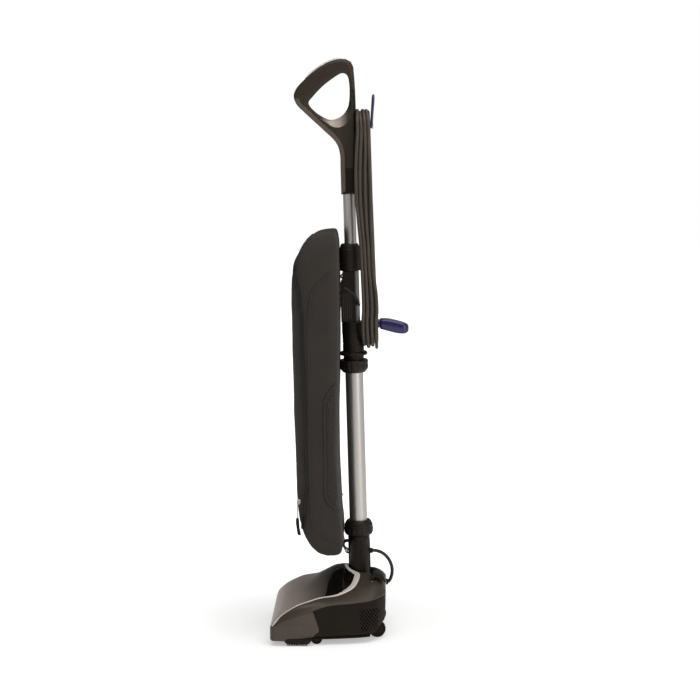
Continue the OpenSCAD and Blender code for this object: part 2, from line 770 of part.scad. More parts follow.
module cord_start() {
    color("#544d47") leant() sweep(START, cord_d, 10, 2);
}
module cord_end() {
    color("#544d47") leant() sweep(END, cord_d, 10, 2);
}
module stadium(w, h) {
    hull() for (s = [-1, 1]) translate([0, s * (h - w) / 2]) circle(d = w);
}
module cord_hank() {
    color("#544d47") leant() translate([0, hank_mid[0], hank_mid[1]]) rotate([hank_tilt, 0, 0])
        rotate([90, 0, 0]) translate([0, 0, -hank_depth]) linear_extrude(hank_depth)
            difference() {
                stadium(hank_w, hank_h);
                stadium(hank_w - 2 * hank_wall, hank_h - 2 * hank_wall);
            }
}
module plug() {
    color("#1a1815") leant() translate([-55, 31, 760]) {
        difference() {
            union() {
                cylinder(r = 12.5, h = 32);
                translate([0, 0, 32]) cylinder(r1 = 12.5, r2 = 5.5, h = 14);
            }
            translate([0, 0, 40]) cylinder(r = cord_d / 2, h = 20);
        }
        for (x = [-6.3, 6.3]) block([x - 0.75, -3.2, -16], [x + 0.75, 3.2, 0.1]);
        translate([0, 8, -18]) cylinder(r = 2.4, h = 18.1);
    }
}

// ---------------------------------------------------------------- bag

module bag_form(inset) {
    w = bag_w / 2 - inset;
    r = bag_corner - inset;
    intersection() {
        slab_x([for (p = closed_curve(BAG_SIDE, 2)) p], -w, w);
        translate([0, 50, 0]) rotate([90, 0, 0]) linear_extrude(300)
            hull() for (x = [r - w, w - r]) for (z = [bag_bottom + inset + r, bag_top - inset - r])
                translate([x, z]) circle(r = r);
        translate([0, 0, bag_bottom]) linear_extrude(bag_top)
            hull() for (x = [36 - w, w - 36]) {
                translate([x, -89.5 + inset]) circle(r = 36);
                translate([x, -58 - inset]) circle(r = 36);
            }
    }
}
// The bag's hollow: the same form, smaller and drawn towards its middle
module bag_hollow(inset) {
    scale_y = 1 - 2 * inset / 92;
    scale_z = 1 - 2 * inset / 695;
    intersection() {
        bag_form(inset);
        slab_x([for (p = closed_curve(BAG_SIDE, 2))
            [-80 + (p[0] + 80) * scale_y, 440 + (p[1] - 440) * scale_z]], -150, 150);
    }
}
module outer_bag() {
    color("#37322d") leant() difference() {
        bag_form(0);
        bag_hollow(bag_wall);
        bar_y(16.6, -60, 0, 0, spout_z);
    }
}
module paper_bag() {
    color("#c9bda6") leant() difference() {
        bag_hollow(bag_wall + 5);
        bar_y(17, -56, 0, 0, spout_z);
    }
}
// Zip round the front panel, parallel to the bag's front face
module zipper() {
    color("#1b1815") leant() difference() {
        intersection() {
            bag_form(-1.2);
            translate([0, 4, 0]) slab_x(closed_curve(BAG_SIDE, 2), -150, 150);
            block([-150, -200, 150], [150, 0, 760]);
        }
        translate([0, 9, 0]) slab_x(closed_curve(BAG_SIDE, 2), -160, 160);
        bag_form(-0.05);
    }
}
// Frame of the zip's slider: +Z along the zip, -Y straight out of the bag
module at_slider() {
    leant() translate([95, -119.5, 222]) rotate([0, 0, 50]) children();
}
module zipper_slider() {
    color("#b9bbbd") at_slider() {
        block([-3, -4.4, 0], [3, -1.2, 12]);
        for (x = [-3, 2]) block([x, -7.4, 1], [x + 1, -4.3, 6]);
    }
}
module zipper_pull() {
    color("#b9bbbd") at_slider() {
        bar_x(1.2, -1.8, 1.8, -5.9, 3.4);
        block([-1.8, -6.9, -34], [1.8, -4.9, 3.4]);
        slab_x([[-7.4, -32], [-4.6, -32], [-4.2, -52], [-2.2, -64], [-5, -65], [-7.4, -52]], -4, 4);
    }
}

chassis();
base_plate();
top_cover();
hood();
hood_trim();
recess_cover();
end_cap(1);  // end_cap_left
end_cap(-1);  // end_cap_right
edge_brush_holders();
edge_bristles();
front_bumper();
brush_roll();
brush_bristles();
brush_bearings();
drive_belt();
motor_housing();
armature();
fan();
fan_housing();
neck_duct();
rear_wheel(1);  // rear_wheel_left
rear_wheel(-1);  // rear_wheel_right
front_wheel(1);  // front_wheel_left
front_wheel(-1);  // front_wheel_right
wheel_axles();
release_pedal();
pivot_yokes();
hinge_pins();
base_screws();
head_gland();
motor_lead();
neck();
neck_gland();
bag_catch();
low_collar();
lower_tube();
mid_nut();
lower_dock();
joiner_sleeve();
bag_dock();
upper_collar();
upper_tube();
handle_half(1);  // handle_left
handle_half(-1);  // handle_right
grip_strip();
power_switch();
hook_mounts();
upper_hook();
lower_hook();
hook_screws();
strain_relief();
cord_start();
cord_hank();
cord_end();
plug();
outer_bag();
paper_bag();
zipper();
zipper_slider();
zipper_pull();
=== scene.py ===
"""Looks of the upright vacuum cleaner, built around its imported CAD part."""

import json
import math

import bmesh
import bpy
import numpy as np
from mathutils import Matrix, Vector, noise
from mathutils.bvhtree import BVHTree
from mathutils.geometry import delaunay_2d_cdt

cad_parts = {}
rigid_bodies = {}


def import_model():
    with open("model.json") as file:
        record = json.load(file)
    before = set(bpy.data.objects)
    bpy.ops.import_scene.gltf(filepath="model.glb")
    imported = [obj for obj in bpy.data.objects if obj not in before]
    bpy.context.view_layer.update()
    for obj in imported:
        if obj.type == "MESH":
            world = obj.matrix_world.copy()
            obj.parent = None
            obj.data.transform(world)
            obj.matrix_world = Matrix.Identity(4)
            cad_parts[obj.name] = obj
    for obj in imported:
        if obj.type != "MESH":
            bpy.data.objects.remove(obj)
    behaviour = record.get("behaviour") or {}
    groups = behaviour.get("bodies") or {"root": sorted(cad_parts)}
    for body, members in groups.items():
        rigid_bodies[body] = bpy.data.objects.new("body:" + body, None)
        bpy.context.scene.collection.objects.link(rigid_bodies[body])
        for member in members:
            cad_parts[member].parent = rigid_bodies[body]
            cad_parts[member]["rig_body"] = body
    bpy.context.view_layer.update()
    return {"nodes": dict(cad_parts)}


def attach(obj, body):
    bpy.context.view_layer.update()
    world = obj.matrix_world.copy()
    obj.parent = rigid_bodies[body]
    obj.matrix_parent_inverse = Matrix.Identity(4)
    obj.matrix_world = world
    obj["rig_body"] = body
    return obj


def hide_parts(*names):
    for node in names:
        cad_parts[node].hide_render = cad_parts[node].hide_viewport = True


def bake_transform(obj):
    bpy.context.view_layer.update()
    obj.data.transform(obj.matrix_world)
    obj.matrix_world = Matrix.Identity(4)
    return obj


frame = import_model()
NODES = frame["nodes"]

MM = 0.001
LEAN = math.radians(1.65)
LEANT = Matrix.Translation((0, 43 * MM, 75 * MM)) @ Matrix.Rotation(LEAN, 4, "X")
TAU = 2 * math.pi


def leant(x, y, z):
    """A point in the handle's own frame, in mm, as a point in the row frame, in metres."""
    return LEANT @ (Vector((x, y, z)) * MM)


# ---------------------------------------------------------------- materials

class Nodes:
    """A material's node tree, with short calls for the nodes that this scene uses."""

    def __init__(self, name):
        self.mat = bpy.data.materials.new(name)
        self.mat.use_nodes = True
        self.tree = self.mat.node_tree
        self.shader = self.tree.nodes["Principled BSDF"]
        self.where = self.add("ShaderNodeTexCoord").outputs["Object"]

    def add(self, kind, **values):
        node = self.tree.nodes.new(kind)
        for key, value in values.items():
            setattr(node, key, value)
        return node

    def link(self, a, b):
        self.tree.links.new(a, b)

    def math(self, op, *values):
        node = self.add("ShaderNodeMath", operation=op)
        for socket, value in zip(node.inputs, values):
            if isinstance(value, (int, float)):
                socket.default_value = value
            else:
                self.link(value, socket)
        return node.outputs[0]

    def noise(self, scale, detail=3.0, rough=0.55):
        node = self.add("ShaderNodeTexNoise")
        node.inputs["Scale"].default_value = scale
        node.inputs["Detail"].default_value = detail
        node.inputs["Roughness"].default_value = rough
        self.link(self.where, node.inputs["Vector"])
        return node.outputs["Fac"]

    def ramp(self, fac, stops):
        node = self.add("ShaderNodeValToRGB")
        ramp = node.color_ramp
        while len(ramp.elements) < len(stops):
            ramp.elements.new(0.5)
        for element, (place, colour) in zip(ramp.elements, stops):
            element.position = place
            element.color = (*colour, 1)
        self.link(fac, node.inputs["Fac"])
        return node.outputs["Color"]

    def range(self, fac, lo, hi, out_lo, out_hi):
        node = self.add("ShaderNodeMapRange")
        for key, value in zip(("From Min", "From Max", "To Min", "To Max"),
                              (lo, hi, out_lo, out_hi)):
            node.inputs[key].default_value = value
        self.link(fac, node.inputs["Value"])
        return node.outputs["Result"]

    def axes(self):
        node = self.add("ShaderNodeSeparateXYZ")
        self.link(self.where, node.inputs["Vector"])
        return node.outputs

    def bump(self, height, distance):
        node = self.add("ShaderNodeBump")
        node.inputs["Distance"].default_value = distance
        self.link(height, node.inputs["Height"])
        self.link(node.outputs["Normal"], self.shader.inputs["Normal"])

    def set(self, **values):
        for key, value in values.items():
            self.shader.inputs[key.replace("_", " ")].default_value = value


def srgb(r, g, b):
    """Linear colour of an sRGB one in 0 to 255."""
    return tuple(((c / 255 + 0.055) / 1.055) ** 2.4 if c > 10 else c / 255 / 12.92
                 for c in (r, g, b))


def shade(colour, k):
    return tuple(c * k for c in colour)


def moulded(name, colour, rough, vary=0.1, grain=900, depth=0.00005, metallic=0.0,
            spread=0.06, coat=0.0, coat_rough=0.1, shine=0.3):
    """Moulded plastic, paint or rubber: cloudy colour, uneven gloss and a fine moulded grain."""
    n = Nodes(name)
    cloud = n.noise(28, 4)
    n.link(n.ramp(cloud, [(0.3, shade(colour, 1 - vary)), (0.55, colour),
                          (0.75, shade(colour, 1 + vary))]), n.shader.inputs["Base Color"])
    n.link(n.range(n.noise(65, 3), 0.3, 0.7, max(rough - spread, 0.03), rough + spread),
           n.shader.inputs["Roughness"])
    n.bump(n.noise(grain, 2), depth)
    n.set(Metallic=metallic, Coat_Weight=coat, Coat_Roughness=coat_rough,
          Specular_IOR_Level=shine, Specular_Tint=(1.0, 0.88, 0.77, 1.0))
    return n.mat


def graded(name, stops, rough, metallic, coat_rough):
    """Smooth paint whose colour changes along Y through the stops; on the hood this paints a
    highlight at the nose that deepens into painted shade at the rear. stops are (y in metres,
    colour).
    """
    n = Nodes(name)
    x, y, z = n.axes()
    lo, hi = stops[0][0], stops[-1][0]
    share = n.range(y, lo, hi, 0.0, 1.0)
    wander = n.math("ADD", share, n.math("MULTIPLY", n.math("SUBTRACT", n.noise(9, 2), 0.5), 0.06))
    n.link(n.ramp(wander, [((p - lo) / (hi - lo), c) for p, c in stops]),
           n.shader.inputs["Base Color"])
    n.link(n.range(n.noise(30, 3), 0.3, 0.7, rough - 0.03, rough + 0.03),
           n.shader.inputs["Roughness"])
    n.set(Metallic=metallic, Coat_Weight=0.12, Coat_Roughness=coat_rough)
    return n.mat


def brushed(name, colour, rough, along="z", stretch=60.0):
    """Drawn or brushed metal, with fine streaks along one axis."""
    n = Nodes(name)
    mapping = n.add("ShaderNodeMapping")
    fine = {"x": (1, stretch, stretch), "y": (stretch, 1, stretch),
            "z": (stretch, stretch, 1)}[along]
    mapping.inputs["Scale"].default_value = fine
    n.link(n.where, mapping.inputs["Vector"])
    streak = n.add("ShaderNodeTexNoise")
    streak.inputs["Scale"].default_value = 12
    streak.inputs["Detail"].default_value = 4
    n.link(mapping.outputs["Vector"], streak.inputs["Vector"])
    fac = streak.outputs["Fac"]
    n.link(n.ramp(fac, [(0.3, shade(colour, 0.9)), (0.7, colour)]), n.shader.inputs["Base Color"])
    n.link(n.range(fac, 0.3, 0.7, rough - 0.05, rough + 0.07), n.shader.inputs["Roughness"])
    n.bump(fac, 0.00001)
    n.set(Metallic=1.0)
    return n.mat


def woven(name, colour, pitch, rough=0.85, depth=0.00012, sheen=0.25):
    """Plain-woven cloth: threads of the given pitch in mm that pass over and under."""
    n = Nodes(name)
    x, y, z = n.axes()
    k = math.pi / (pitch * MM)
    u = n.math("SINE", n.math("MULTIPLY", n.math("ADD", x, y), k))
    v = n.math("SINE", n.math("MULTIPLY", z, k))
    thread = n.math("ADD", n.math("MULTIPLY", n.math("MULTIPLY", u, v), 0.5), 0.5)
    fuzz = n.math("ADD", n.math("MULTIPLY", thread, 0.7), n.math("MULTIPLY", n.noise(700, 4), 0.4))
    cloud = n.math("ADD", n.math("MULTIPLY", fuzz, 0.5), n.math("MULTIPLY", n.noise(18, 5), 0.6))
    n.link(n.ramp(cloud, [(0.3, shade(colour, 0.72)), (0.55, colour), (0.8, shade(colour, 1.25))]),
           n.shader.inputs["Base Color"])
    n.bump(fuzz, depth)
    n.set(Roughness=rough, Sheen_Weight=sheen, Sheen_Roughness=0.5)
    return n.mat


def honeycomb(name, colour, pitch):
    """Spacer mesh: rows of round cells, staggered and sunk, with painted shade in the cells and a
    painted highlight on the ridges between them.
    """
    n = Nodes(name)
    x, y, z = n.axes()
    k = TAU / (pitch * MM)
    h = n.math("ADD", x, y)
    a = n.math("COSINE", n.math("MULTIPLY", h, k))
    b = n.math("COSINE", n.math("MULTIPLY", n.math("ADD", n.math("MULTIPLY", h, 0.5),
                                                   n.math("MULTIPLY", z, 0.866)), k))
    c = n.math("COSINE", n.math("MULTIPLY", n.math("SUBTRACT", n.math("MULTIPLY", h, 0.5),
                                                   n.math("MULTIPLY", z, 0.866)), k))
    cell = n.range(n.math("ADD", n.math("ADD", a, b), c), -1.0, 1.6, 0.0, 1.0)
    # Lighter ridges are a painted highlight; the dark cell bottoms are painted shade.
    n.link(n.ramp(cell, [(0.0, shade(colour, 1.25)), (0.5, colour), (0.95, shade(colour, 0.35))]),
           n.shader.inputs["Base Color"])
    n.bump(n.math("SUBTRACT", 1.0, cell), 0.0004)
    n.set(Roughness=0.8, Sheen_Weight=0.06, Sheen_Roughness=0.5)
    return n.mat


M = {
    "shell": moulded("shell_paint", srgb(66, 58, 51), 0.42, 0.08, 1400, 0.00002, 0.1,
                     coat=0.1, coat_rough=0.3),
    "panel": moulded("panel_plastic", srgb(26, 21, 17), 0.52, 0.12, 1100, 0.00005, shine=0.16),
    "cap": moulded("cap_plastic", srgb(84, 75, 69), 0.46, 0.1, 1100, 0.00005, shine=0.2),
    # Hood colour from light at the nose to dark at the rear: painted highlight in front, painted
    # shade behind.
    "hood": graded("hood_paint_painted_light", [(-0.145, srgb(212, 195, 185)), (-0.11, srgb(176, 159, 149)),
                                 (-0.06, srgb(114, 101, 93)), (-0.02, srgb(60, 53, 48)),
                                 (0.02, srgb(44, 38, 34))], 0.42, 0.25, 0.3),
    "gloss": moulded("gloss_black", srgb(16, 14, 12), 0.1, 0.15, 1500, 0.00001, coat=0.6,
                     coat_rough=0.05),
    "black": moulded("satin_black", srgb(22, 18, 15), 0.42, 0.15, 1000, 0.00005, shine=0.24),
    "collar": moulded("collar_black", srgb(28, 23, 19), 0.46, 0.15, 900, 0.00007, shine=0.3),
    "rubber": moulded("black_rubber", srgb(18, 16, 13), 0.68, 0.2, 700, 0.00009),
    "handle": moulded("handle_dark", srgb(53, 46, 39), 0.42, 0.09, 1300, 0.00006),
    "band": moulded("handle_band", srgb(92, 82, 74), 0.4, 0.08, 1300, 0.00005),
    "crescent": graded("handle_crescent", [(-0.040, srgb(56, 49, 42)),
                                          (-0.022, srgb(172, 156, 145)),
                                          (0.000, srgb(160, 145, 134)), (0.016, srgb(56, 49, 42))],
                      0.4, 0.1, 0.3),
    "cord": moulded("cord_jacket", srgb(78, 70, 63), 0.5, 0.12, 500, 0.00006),
    "lead": moulded("lead_jacket", srgb(50, 46, 41), 0.5, 0.12, 500, 0.00006),
    "violet": moulded("violet_plastic", srgb(44, 37, 92), 0.2, 0.14, 800, 0.00002, 0.35,
                      coat=0.7, coat_rough=0.07),
    "bristle": moulded("bristle_nylon", srgb(38, 35, 31), 0.55, 0.3, 400, 0.00008),
    "trim": moulded("satin_silver", srgb(230, 222, 216), 0.34, 0.04, 1500, 0.00001, 0.2),
    "steel": brushed("plated_steel", srgb(190, 190, 188), 0.25, "x"),
    "tube": brushed("tube_aluminium", srgb(205, 200, 195), 0.38, "z", 80),
    # The sleeve is the tubes' aluminium made darker: partly its own duller grey, partly painted
    # shade from the cord hank in front of it.
    "sleeve": brushed("sleeve_aluminium_shaded", srgb(150, 145, 140), 0.4, "z", 80),
    "chrome": moulded("zip_nickel", srgb(206, 204, 200), 0.2, 0.05, 900, 0.00001, 0.7),
    "bag": woven("bag_nylon", srgb(44, 37, 31), 1.3, sheen=0.05),
    "mesh": honeycomb("bag_spacer_mesh", srgb(40, 35, 30), 4.2),
    "tape": woven("zip_tape", srgb(22, 19, 16), 0.8, 0.8, 0.00008, 0.1),
    "paper": woven("filter_paper", srgb(205, 192, 168), 0.9, 0.95, 0.00008, 0.0),
    "copper": brushed("motor_copper", srgb(176, 110, 70), 0.35, "x"),
}

PLAIN = {
    "panel": "chassis base_plate fan_housing neck_duct brush_bearings pivot_yokes",
    "shell": "top_cover", "hood": "hood", "gloss": "recess_cover",
    "trim": "hood_trim grip_strip", "cap": "end_cap_left end_cap_right",
    "black": "neck bag_catch bag_dock lower_dock hook_mounts power_switch release_pedal "
             "edge_brush_holders fan brush_roll wheel_axles",
    "collar": "low_collar mid_nut upper_collar",
    "rubber": "front_bumper head_gland neck_gland strain_relief drive_belt plug rear_wheel_left "
              "rear_wheel_right front_wheel_left front_wheel_right",
    "handle": "handle_left handle_right", "violet": "upper_hook lower_hook",
    "cord": "cord_start cord_hank cord_end", "lead": "motor_lead",
    "steel": "hinge_pins base_screws hook_screws motor_housing",
    "copper": "armature", "tube": "lower_tube upper_tube", "sleeve": "joiner_sleeve",
    "bag": "outer_bag", "paper": "paper_bag", "tape": "zipper",
    "chrome": "zipper_slider zipper_pull", "bristle": "edge_bristles brush_bristles",
}
for key, names in PLAIN.items():
    for name in names.split():
        mesh = NODES[name].data
        mesh.materials.clear()
        mesh.materials.append(M[key])


# ---------------------------------------------------------------- shape helpers

def curve(points, steps, closed=False):
    """Points along a smooth curve that passes through all the given ones."""
    p = [np.array(q, float) for q in points]
    n = len(p)
    out = []
    for i in range(n if closed else n - 1):
        if closed:
            a, b, c, d = p[i - 1], p[i], p[(i + 1) % n], p[(i + 2) % n]
        else:
            a, b, c, d = p[max(i - 1, 0)], p[i], p[i + 1], p[min(i + 2, n - 1)]
        for k in range(steps):
            t = k / steps
            out.append(0.5 * (2 * b + (c - a) * t + (2 * a - 5 * b + 4 * c - d) * t * t
                              + (3 * b - a - 3 * c + d) * t ** 3))
    return out if closed else out + [p[-1]]


def rounded(points, closed=True, steps=5):
    """An outline with its corners rounded: each point is (u, v) or (u, v, radius)."""
    n = len(points)
    out = []
    for i, p in enumerate(points):
        r = p[2] if len(p) > 2 else 0
        b = Vector(p[:2])
        if r <= 0 or (not closed and i in (0, n - 1)):
            out.append(tuple(b))
            continue
        u = Vector(points[i - 1][:2]) - b
        w = Vector(points[(i + 1) % n][:2]) - b
        half = u.angle(w) / 2
        cut = min(r / math.tan(half), u.length * 0.49, w.length * 0.49)
        a, c = b + u.normalized() * cut, b + w.normalized() * cut
        for k in range(steps + 1):
            t = k / steps
            out.append(tuple(a * (1 - t) ** 2 + 2 * b * t * (1 - t) + c * t * t))
    return out


def piece(name, verts, faces, body, mat, replaces=(), slot=None, place=None, bevel=0.0,
          segments=3, solid=0.0, sharp=38, mats=(), pick=None):
    """A finished mesh piece. verts are in mm in the frame that place maps to the row's."""
    mesh = bpy.data.meshes.new(name)
    mesh.from_pydata([tuple(c * MM for c in v) for v in verts], [], [list(f) for f in faces])
    bm = bmesh.new()
    bm.from_mesh(mesh)
    bmesh.ops.remove_doubles(bm, verts=bm.verts, dist=2e-6)
    bmesh.ops.recalc_face_normals(bm, faces=bm.faces)
    bm.to_mesh(mesh)
    bm.free()
    if place is not None:
        mesh.transform(place)
    for m in (mat, *mats):
        mesh.materials.append(M[m] if isinstance(m, str) else m)
    if pick is not None:
        for polygon in mesh.polygons:
            polygon.material_index = pick(polygon.center)
    obj = bpy.data.objects.new(name, mesh)
    bpy.context.scene.collection.objects.link(obj)
    mesh.shade_smooth()
    if solid:
        mod = obj.modifiers.new("wall", "SOLIDIFY")
        mod.thickness, mod.offset = solid * MM, -1
    if bevel:
        mod = obj.modifiers.new("edges", "BEVEL")
        mod.width, mod.segments, mod.limit_method = bevel * MM, segments, "ANGLE"
        mod.angle_limit = math.radians(sharp)
        mod.harden_normals = True
    mesh.set_sharp_from_angle(angle=math.radians(sharp))
    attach(obj, body)
    if replaces:
        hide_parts(*replaces)
    return obj


def lathe(profile, n=72, shape=None, closed=True):
    """A profile of (radius, height) turned about Z. shape may change a radius by its angle."""
    verts = []
    for r, z in profile:
        for i in range(n):
            a = TAU * i / n
            q = shape(r, z, a) if shape else r
            verts.append((q * math.cos(a), q * math.sin(a), z))
    m = len(profile)
    faces = [(j * n + i, j * n + (i + 1) % n, (j + 1) % m * n + (i + 1) % n, (j + 1) % m * n + i)
             for j in range(m if closed else m - 1) for i in range(n)]
    if not closed:
        faces += [tuple(range(n)), tuple(range((m - 1) * n, m * n))]
    return verts, faces


def prism(outline, lo, hi, axis="x"):
    """An outline extruded from lo to hi along an axis. The outline is in the other two."""
    put = {"x": lambda p, h: (h, p[0], p[1]), "y": lambda p, h: (p[0], h, p[1]),
           "z": lambda p, h: (p[0], p[1], h)}[axis]
    n = len(outline)
    verts = [put(p, lo) for p in outline] + [put(p, hi) for p in outline]
    faces = [(i, (i + 1) % n, n + (i + 1) % n, n + i) for i in range(n)]
    return verts, faces + [tuple(range(n)), tuple(range(n, 2 * n))]


def rings_solid(rings):
    """A closed solid through rings with the same number of points."""
    n, m = len(rings[0]), len(rings)
    verts = [p for ring in rings for p in ring]
    faces = [(j * n + i, j * n + (i + 1) % n, (j + 1) * n + (i + 1) % n, (j + 1) * n + i)
             for j in range(m - 1) for i in range(n)]
    return verts, faces + [tuple(range(n)), tuple(range((m - 1) * n, m * n))]


def tube(points, radius, n=14):
    """A round tube along points. radius is one number or a function of the point's share."""
    p = [Vector(q) for q in points]
    t = [(p[min(i + 1, len(p) - 1)] - p[max(i - 1, 0)]).normalized() for i in range(len(p))]
    u = t[0].orthogonal().normalized()
    rings = []
    for i, (q, d) in enumerate(zip(p, t)):
        u = (u - d * u.dot(d)).normalized()
        w = d.cross(u)
        r = radius(i / (len(p) - 1)) if callable(radius) else radius
        rings.append([q + r * (u * math.cos(TAU * k / n) + w * math.sin(TAU * k / n))
                      for k in range(n)])
    return rings_solid(rings)


def merge(*parts):
    verts, faces = [], []
    for v, f in parts:
        base = len(verts)
        verts += list(v)
        faces += [tuple(i + base for i in face) for face in f]
    return verts, faces


def moved(part, matrix):
    return [tuple(matrix @ Vector(v)) for v in part[0]], part[1]


def mirrored(part):
    return [(-v[0], v[1], v[2]) for v in part[0]], part[1]


def grid(rows):
    """Faces over rows of points that all have the same length."""
    n = len(rows[0])
    verts = [tuple(p) for row in rows for p in row]
    return verts, [(j * n + i, j * n + i + 1, (j + 1) * n + i + 1, (j + 1) * n + i)
                   for j in range(len(rows) - 1) for i in range(n - 1)]


def interp(table):
    """A smooth function from one value to another through the given pairs."""
    dense = np.array(curve(table, 8))
    order = np.argsort(dense[:, 0])
    return lambda v: float(np.interp(v, dense[order, 0], dense[order, 1]))


ALONG_X = Matrix.Rotation(math.pi / 2, 4, "Y")
ALONG_Y = Matrix.Rotation(-math.pi / 2, 4, "X")


def shift(x, y, z):
    return Matrix.Translation((x, y, z))


# ---------------------------------------------------------------- camera

AZIMUTH, ELEVATION, DISTANCE = math.radians(91.365), math.radians(8.375), 4.7745
TARGET = Vector((0, 0.02021, 0.6064))
camera = bpy.data.objects.new("camera", bpy.data.cameras.new("camera"))
bpy.context.scene.collection.objects.link(camera)
camera.data.lens = 116.1
camera.data.sensor_width = 36
camera.data.clip_end = 30
camera.location = TARGET + DISTANCE * Vector((
    math.sin(AZIMUTH) * math.cos(ELEVATION), -math.cos(AZIMUTH) * math.cos(ELEVATION),
    math.sin(ELEVATION)))
camera.rotation_euler = (TARGET - camera.location).to_track_quat("-Z", "Y").to_euler()
bpy.context.scene.camera = camera

# ---------------------------------------------------------------- power cord

CORD_D = 7.2
HANK_BACK, HANK_MID, HANK_LEAN = 24.4, 788, math.radians(0.8)  # first column, its middle, its lean
START = [[0, 30, 934], [0, 30, 918], [0, 30, 900], [-1, 30, 882], [-3, 30, 864],
         [-6, 29.9, 846], [-10, 29.8, 828], [-14, 29.6, 810], [-18, 29.4, 793], [-22, 29.2, 776],
         [-26, 29.1, 760], [-29, 29, 744]]
END = [[-38, 27, 905], [-41, 27.5, 890], [-44.5, 28.5, 874], [-48, 29.5, 858],
       [-51.5, 30.4, 841], [-54, 31, 823], [-55, 31, 806]]
INNER, OUTER = 31.1, 38.5
ARC_TOP, ARC_LOW = 996, 580
# How far back each strand lies at each height, on the side that faces the camera
LEVELS = [990, 950, 915, 860, 800, 755, 700, 655, 620, 596]
NEAR_OUTER = [[22.6, 19.2, 17.0, 16.4, 19.6, 22.6, 23.8, 24.6, 24.4, 22.4],
              [30.2, 27.4, 25.2, 24.2, 26.8, 29.8, 31.2, 32.4, 32.6, 31.0],
              [38.0, 37.6, 36.0, 34.8, 36.0, 38.0, 39.2, 41.8, 42.4, 40.8],
              [45.4, 45.3, 45.6, 46.0, 45.4, 46.2, 47.0, 51.4, 52.4, 49.8]]
NEAR_INNER = [[23.0, 22.6, 21.4, 20.6, 22.0, 23.8, 25.0, 26.0, 26.2, 26.0],
              [30.6, 31.0, 30.4, 29.6, 30.6, 31.8, 32.8, 33.8, 34.4, 34.0],
              [38.2, 38.8, 39.0, 39.2, 39.4, 39.8, 40.6, 42.2, 43.8, 43.0],
              [45.6, 45.8, 46.0, 46.2, 46.0, 46.6, 47.4, 50.6, 52.0, 50.6]]


def hank_column(k, z):
    """Middle of column k of the hank at a height, in the handle's frame."""
    return HANK_BACK + CORD_D * k - (z - HANK_MID) * math.sin(HANK_LEAN)


def bow(z):
    """How far a strand has bowed out at a height: 0 at both ends, 1 at the middle."""
    return math.sin((z - LEVELS[-1]) / (LEVELS[0] - LEVELS[-1]) * math.pi)


def arc(side, r0, y0, r1, y1, centre, up, sag=0.0):
    """Half a turn over the top or round the bottom, from side to the other side."""
    out = []
    for k in range(1, 12):
        a = math.pi * k / 12
        t = (1 - math.cos(a)) / 2
        r = r0 + (r1 - r0) * t
        out.append([side * r * math.cos(a), y0 + (y1 - y0) * t,
                    centre + up * ((r + sag) * math.sin(a))])
    return out


def far_run(r, k, sway):
    """A strand that goes down the far side, in column k."""
    return [[-(r + sway * bow(z)), hank_column(k, z), z] for z in LEVELS]


def near_run(r, table, sway):
    """A strand that comes up the near side, along one row of a table."""
    return [[r + sway * bow(z), y, z] for y, z in zip(reversed(table), reversed(LEVELS))]


near = [(INNER, t) for t in NEAR_INNER] + [(OUTER, t) for t in reversed(NEAR_OUTER)]
far = [(INNER, k) for k in range(4)] + [(OUTER, k) for k in reversed(range(4))]
TURNS = len(near)
LOW_SAGS = [4, -2, 2, -1, 5, 0, 3, -2]
TOP_SAGS = [0, 0.4, 0.2, 0.6, 0, 0.5, 0.3, 0.8]
route = START + [[-INNER, 29.6, 720], [-INNER, 30, 680], [-INNER, 30.4, 640], [-INNER, 31, 600]]
for turn, ((r, row), (fr, col)) in enumerate(zip(near, far)):
    if turn:
        down = far_run(fr, col, 0.8)
        if turn == TURNS - 1:  # lies where the first strand is missing, then steps out over it
            down = [[-(INNER + (OUTER - INNER) * min(max((870 - p[2]) / 90, 0), 1)), p[1], p[2]]
                    for p in down]
        route += down
    low_y = route[-1][1]
    route += arc(-1, -route[-1][0], low_y, r, row[-1], ARC_LOW, -1, LOW_SAGS[turn])
    route += near_run(r, row, 1.0 if r == OUTER else 0.4)
    # the last strand down starts in the inner layer, and the free end hangs in the outer one
    after = {TURNS - 2: (INNER, 0), TURNS - 1: (OUTER, 0)}
    next_r, next_col = after[turn] if turn in after else far[turn + 1]
    route += arc(1, r, row[0], next_r, hank_column(next_col, ARC_TOP), ARC_TOP, 1, TOP_SAGS[turn])
route += [[-OUTER, 25.4, 975], [-OUTER, 25.8, 950], [-OUTER, 26.4, 925]] + END
path = curve(route, 4)


def cord_curve(name, points, diameter, mat):
    data = bpy.data.curves.new(name, "CURVE")
    data.dimensions = "3D"
    data.bevel_depth = diameter / 2 * MM
    data.bevel_resolution = 4
    data.use_fill_caps = True
    spline = data.splines.new("POLY")
    spline.points.add(len(points) - 1)
    for point, p in zip(spline.points, points):
        point.co = (*leant(*p), 1)
    spline.use_smooth = True
    data.materials.append(M[mat])
    obj = bpy.data.objects.new(name, data)
    bpy.context.scene.collection.objects.link(obj)
    return obj


def length_of(points):
    return sum((Vector(b) - Vector(a)).length for a, b in zip(points, points[1:]))


power_cord = cord_curve("power_cord", path, CORD_D, "cord")
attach(power_cord, "handle")
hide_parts("cord_start", "cord_hank", "cord_end")
print("cord", round(length_of(path)), "mm")

# Plug: a rounded grip body with finger ribs, two flat blades and a round earth pin
PLUG_AT = shift(-55 * MM, 31 * MM, 760 * MM)
plug_outline = rounded([(0, -0.2), (11.2, -0.2, 1.5), (12.5, 4, 2), (12.5, 24, 8), (9.2, 33, 6),
                        (6.4, 38, 3), (5.6, 46, 1), (0, 46)], closed=False)


def grip_ribs(r, z, a):
    ribs = 0.5 * math.cos(z * TAU / 4.2) if 10 < z < 27 else 0
    return r * (1 - 0.06 * math.cos(2 * a)) + (ribs * abs(math.cos(a)) if r > 8 else 0)


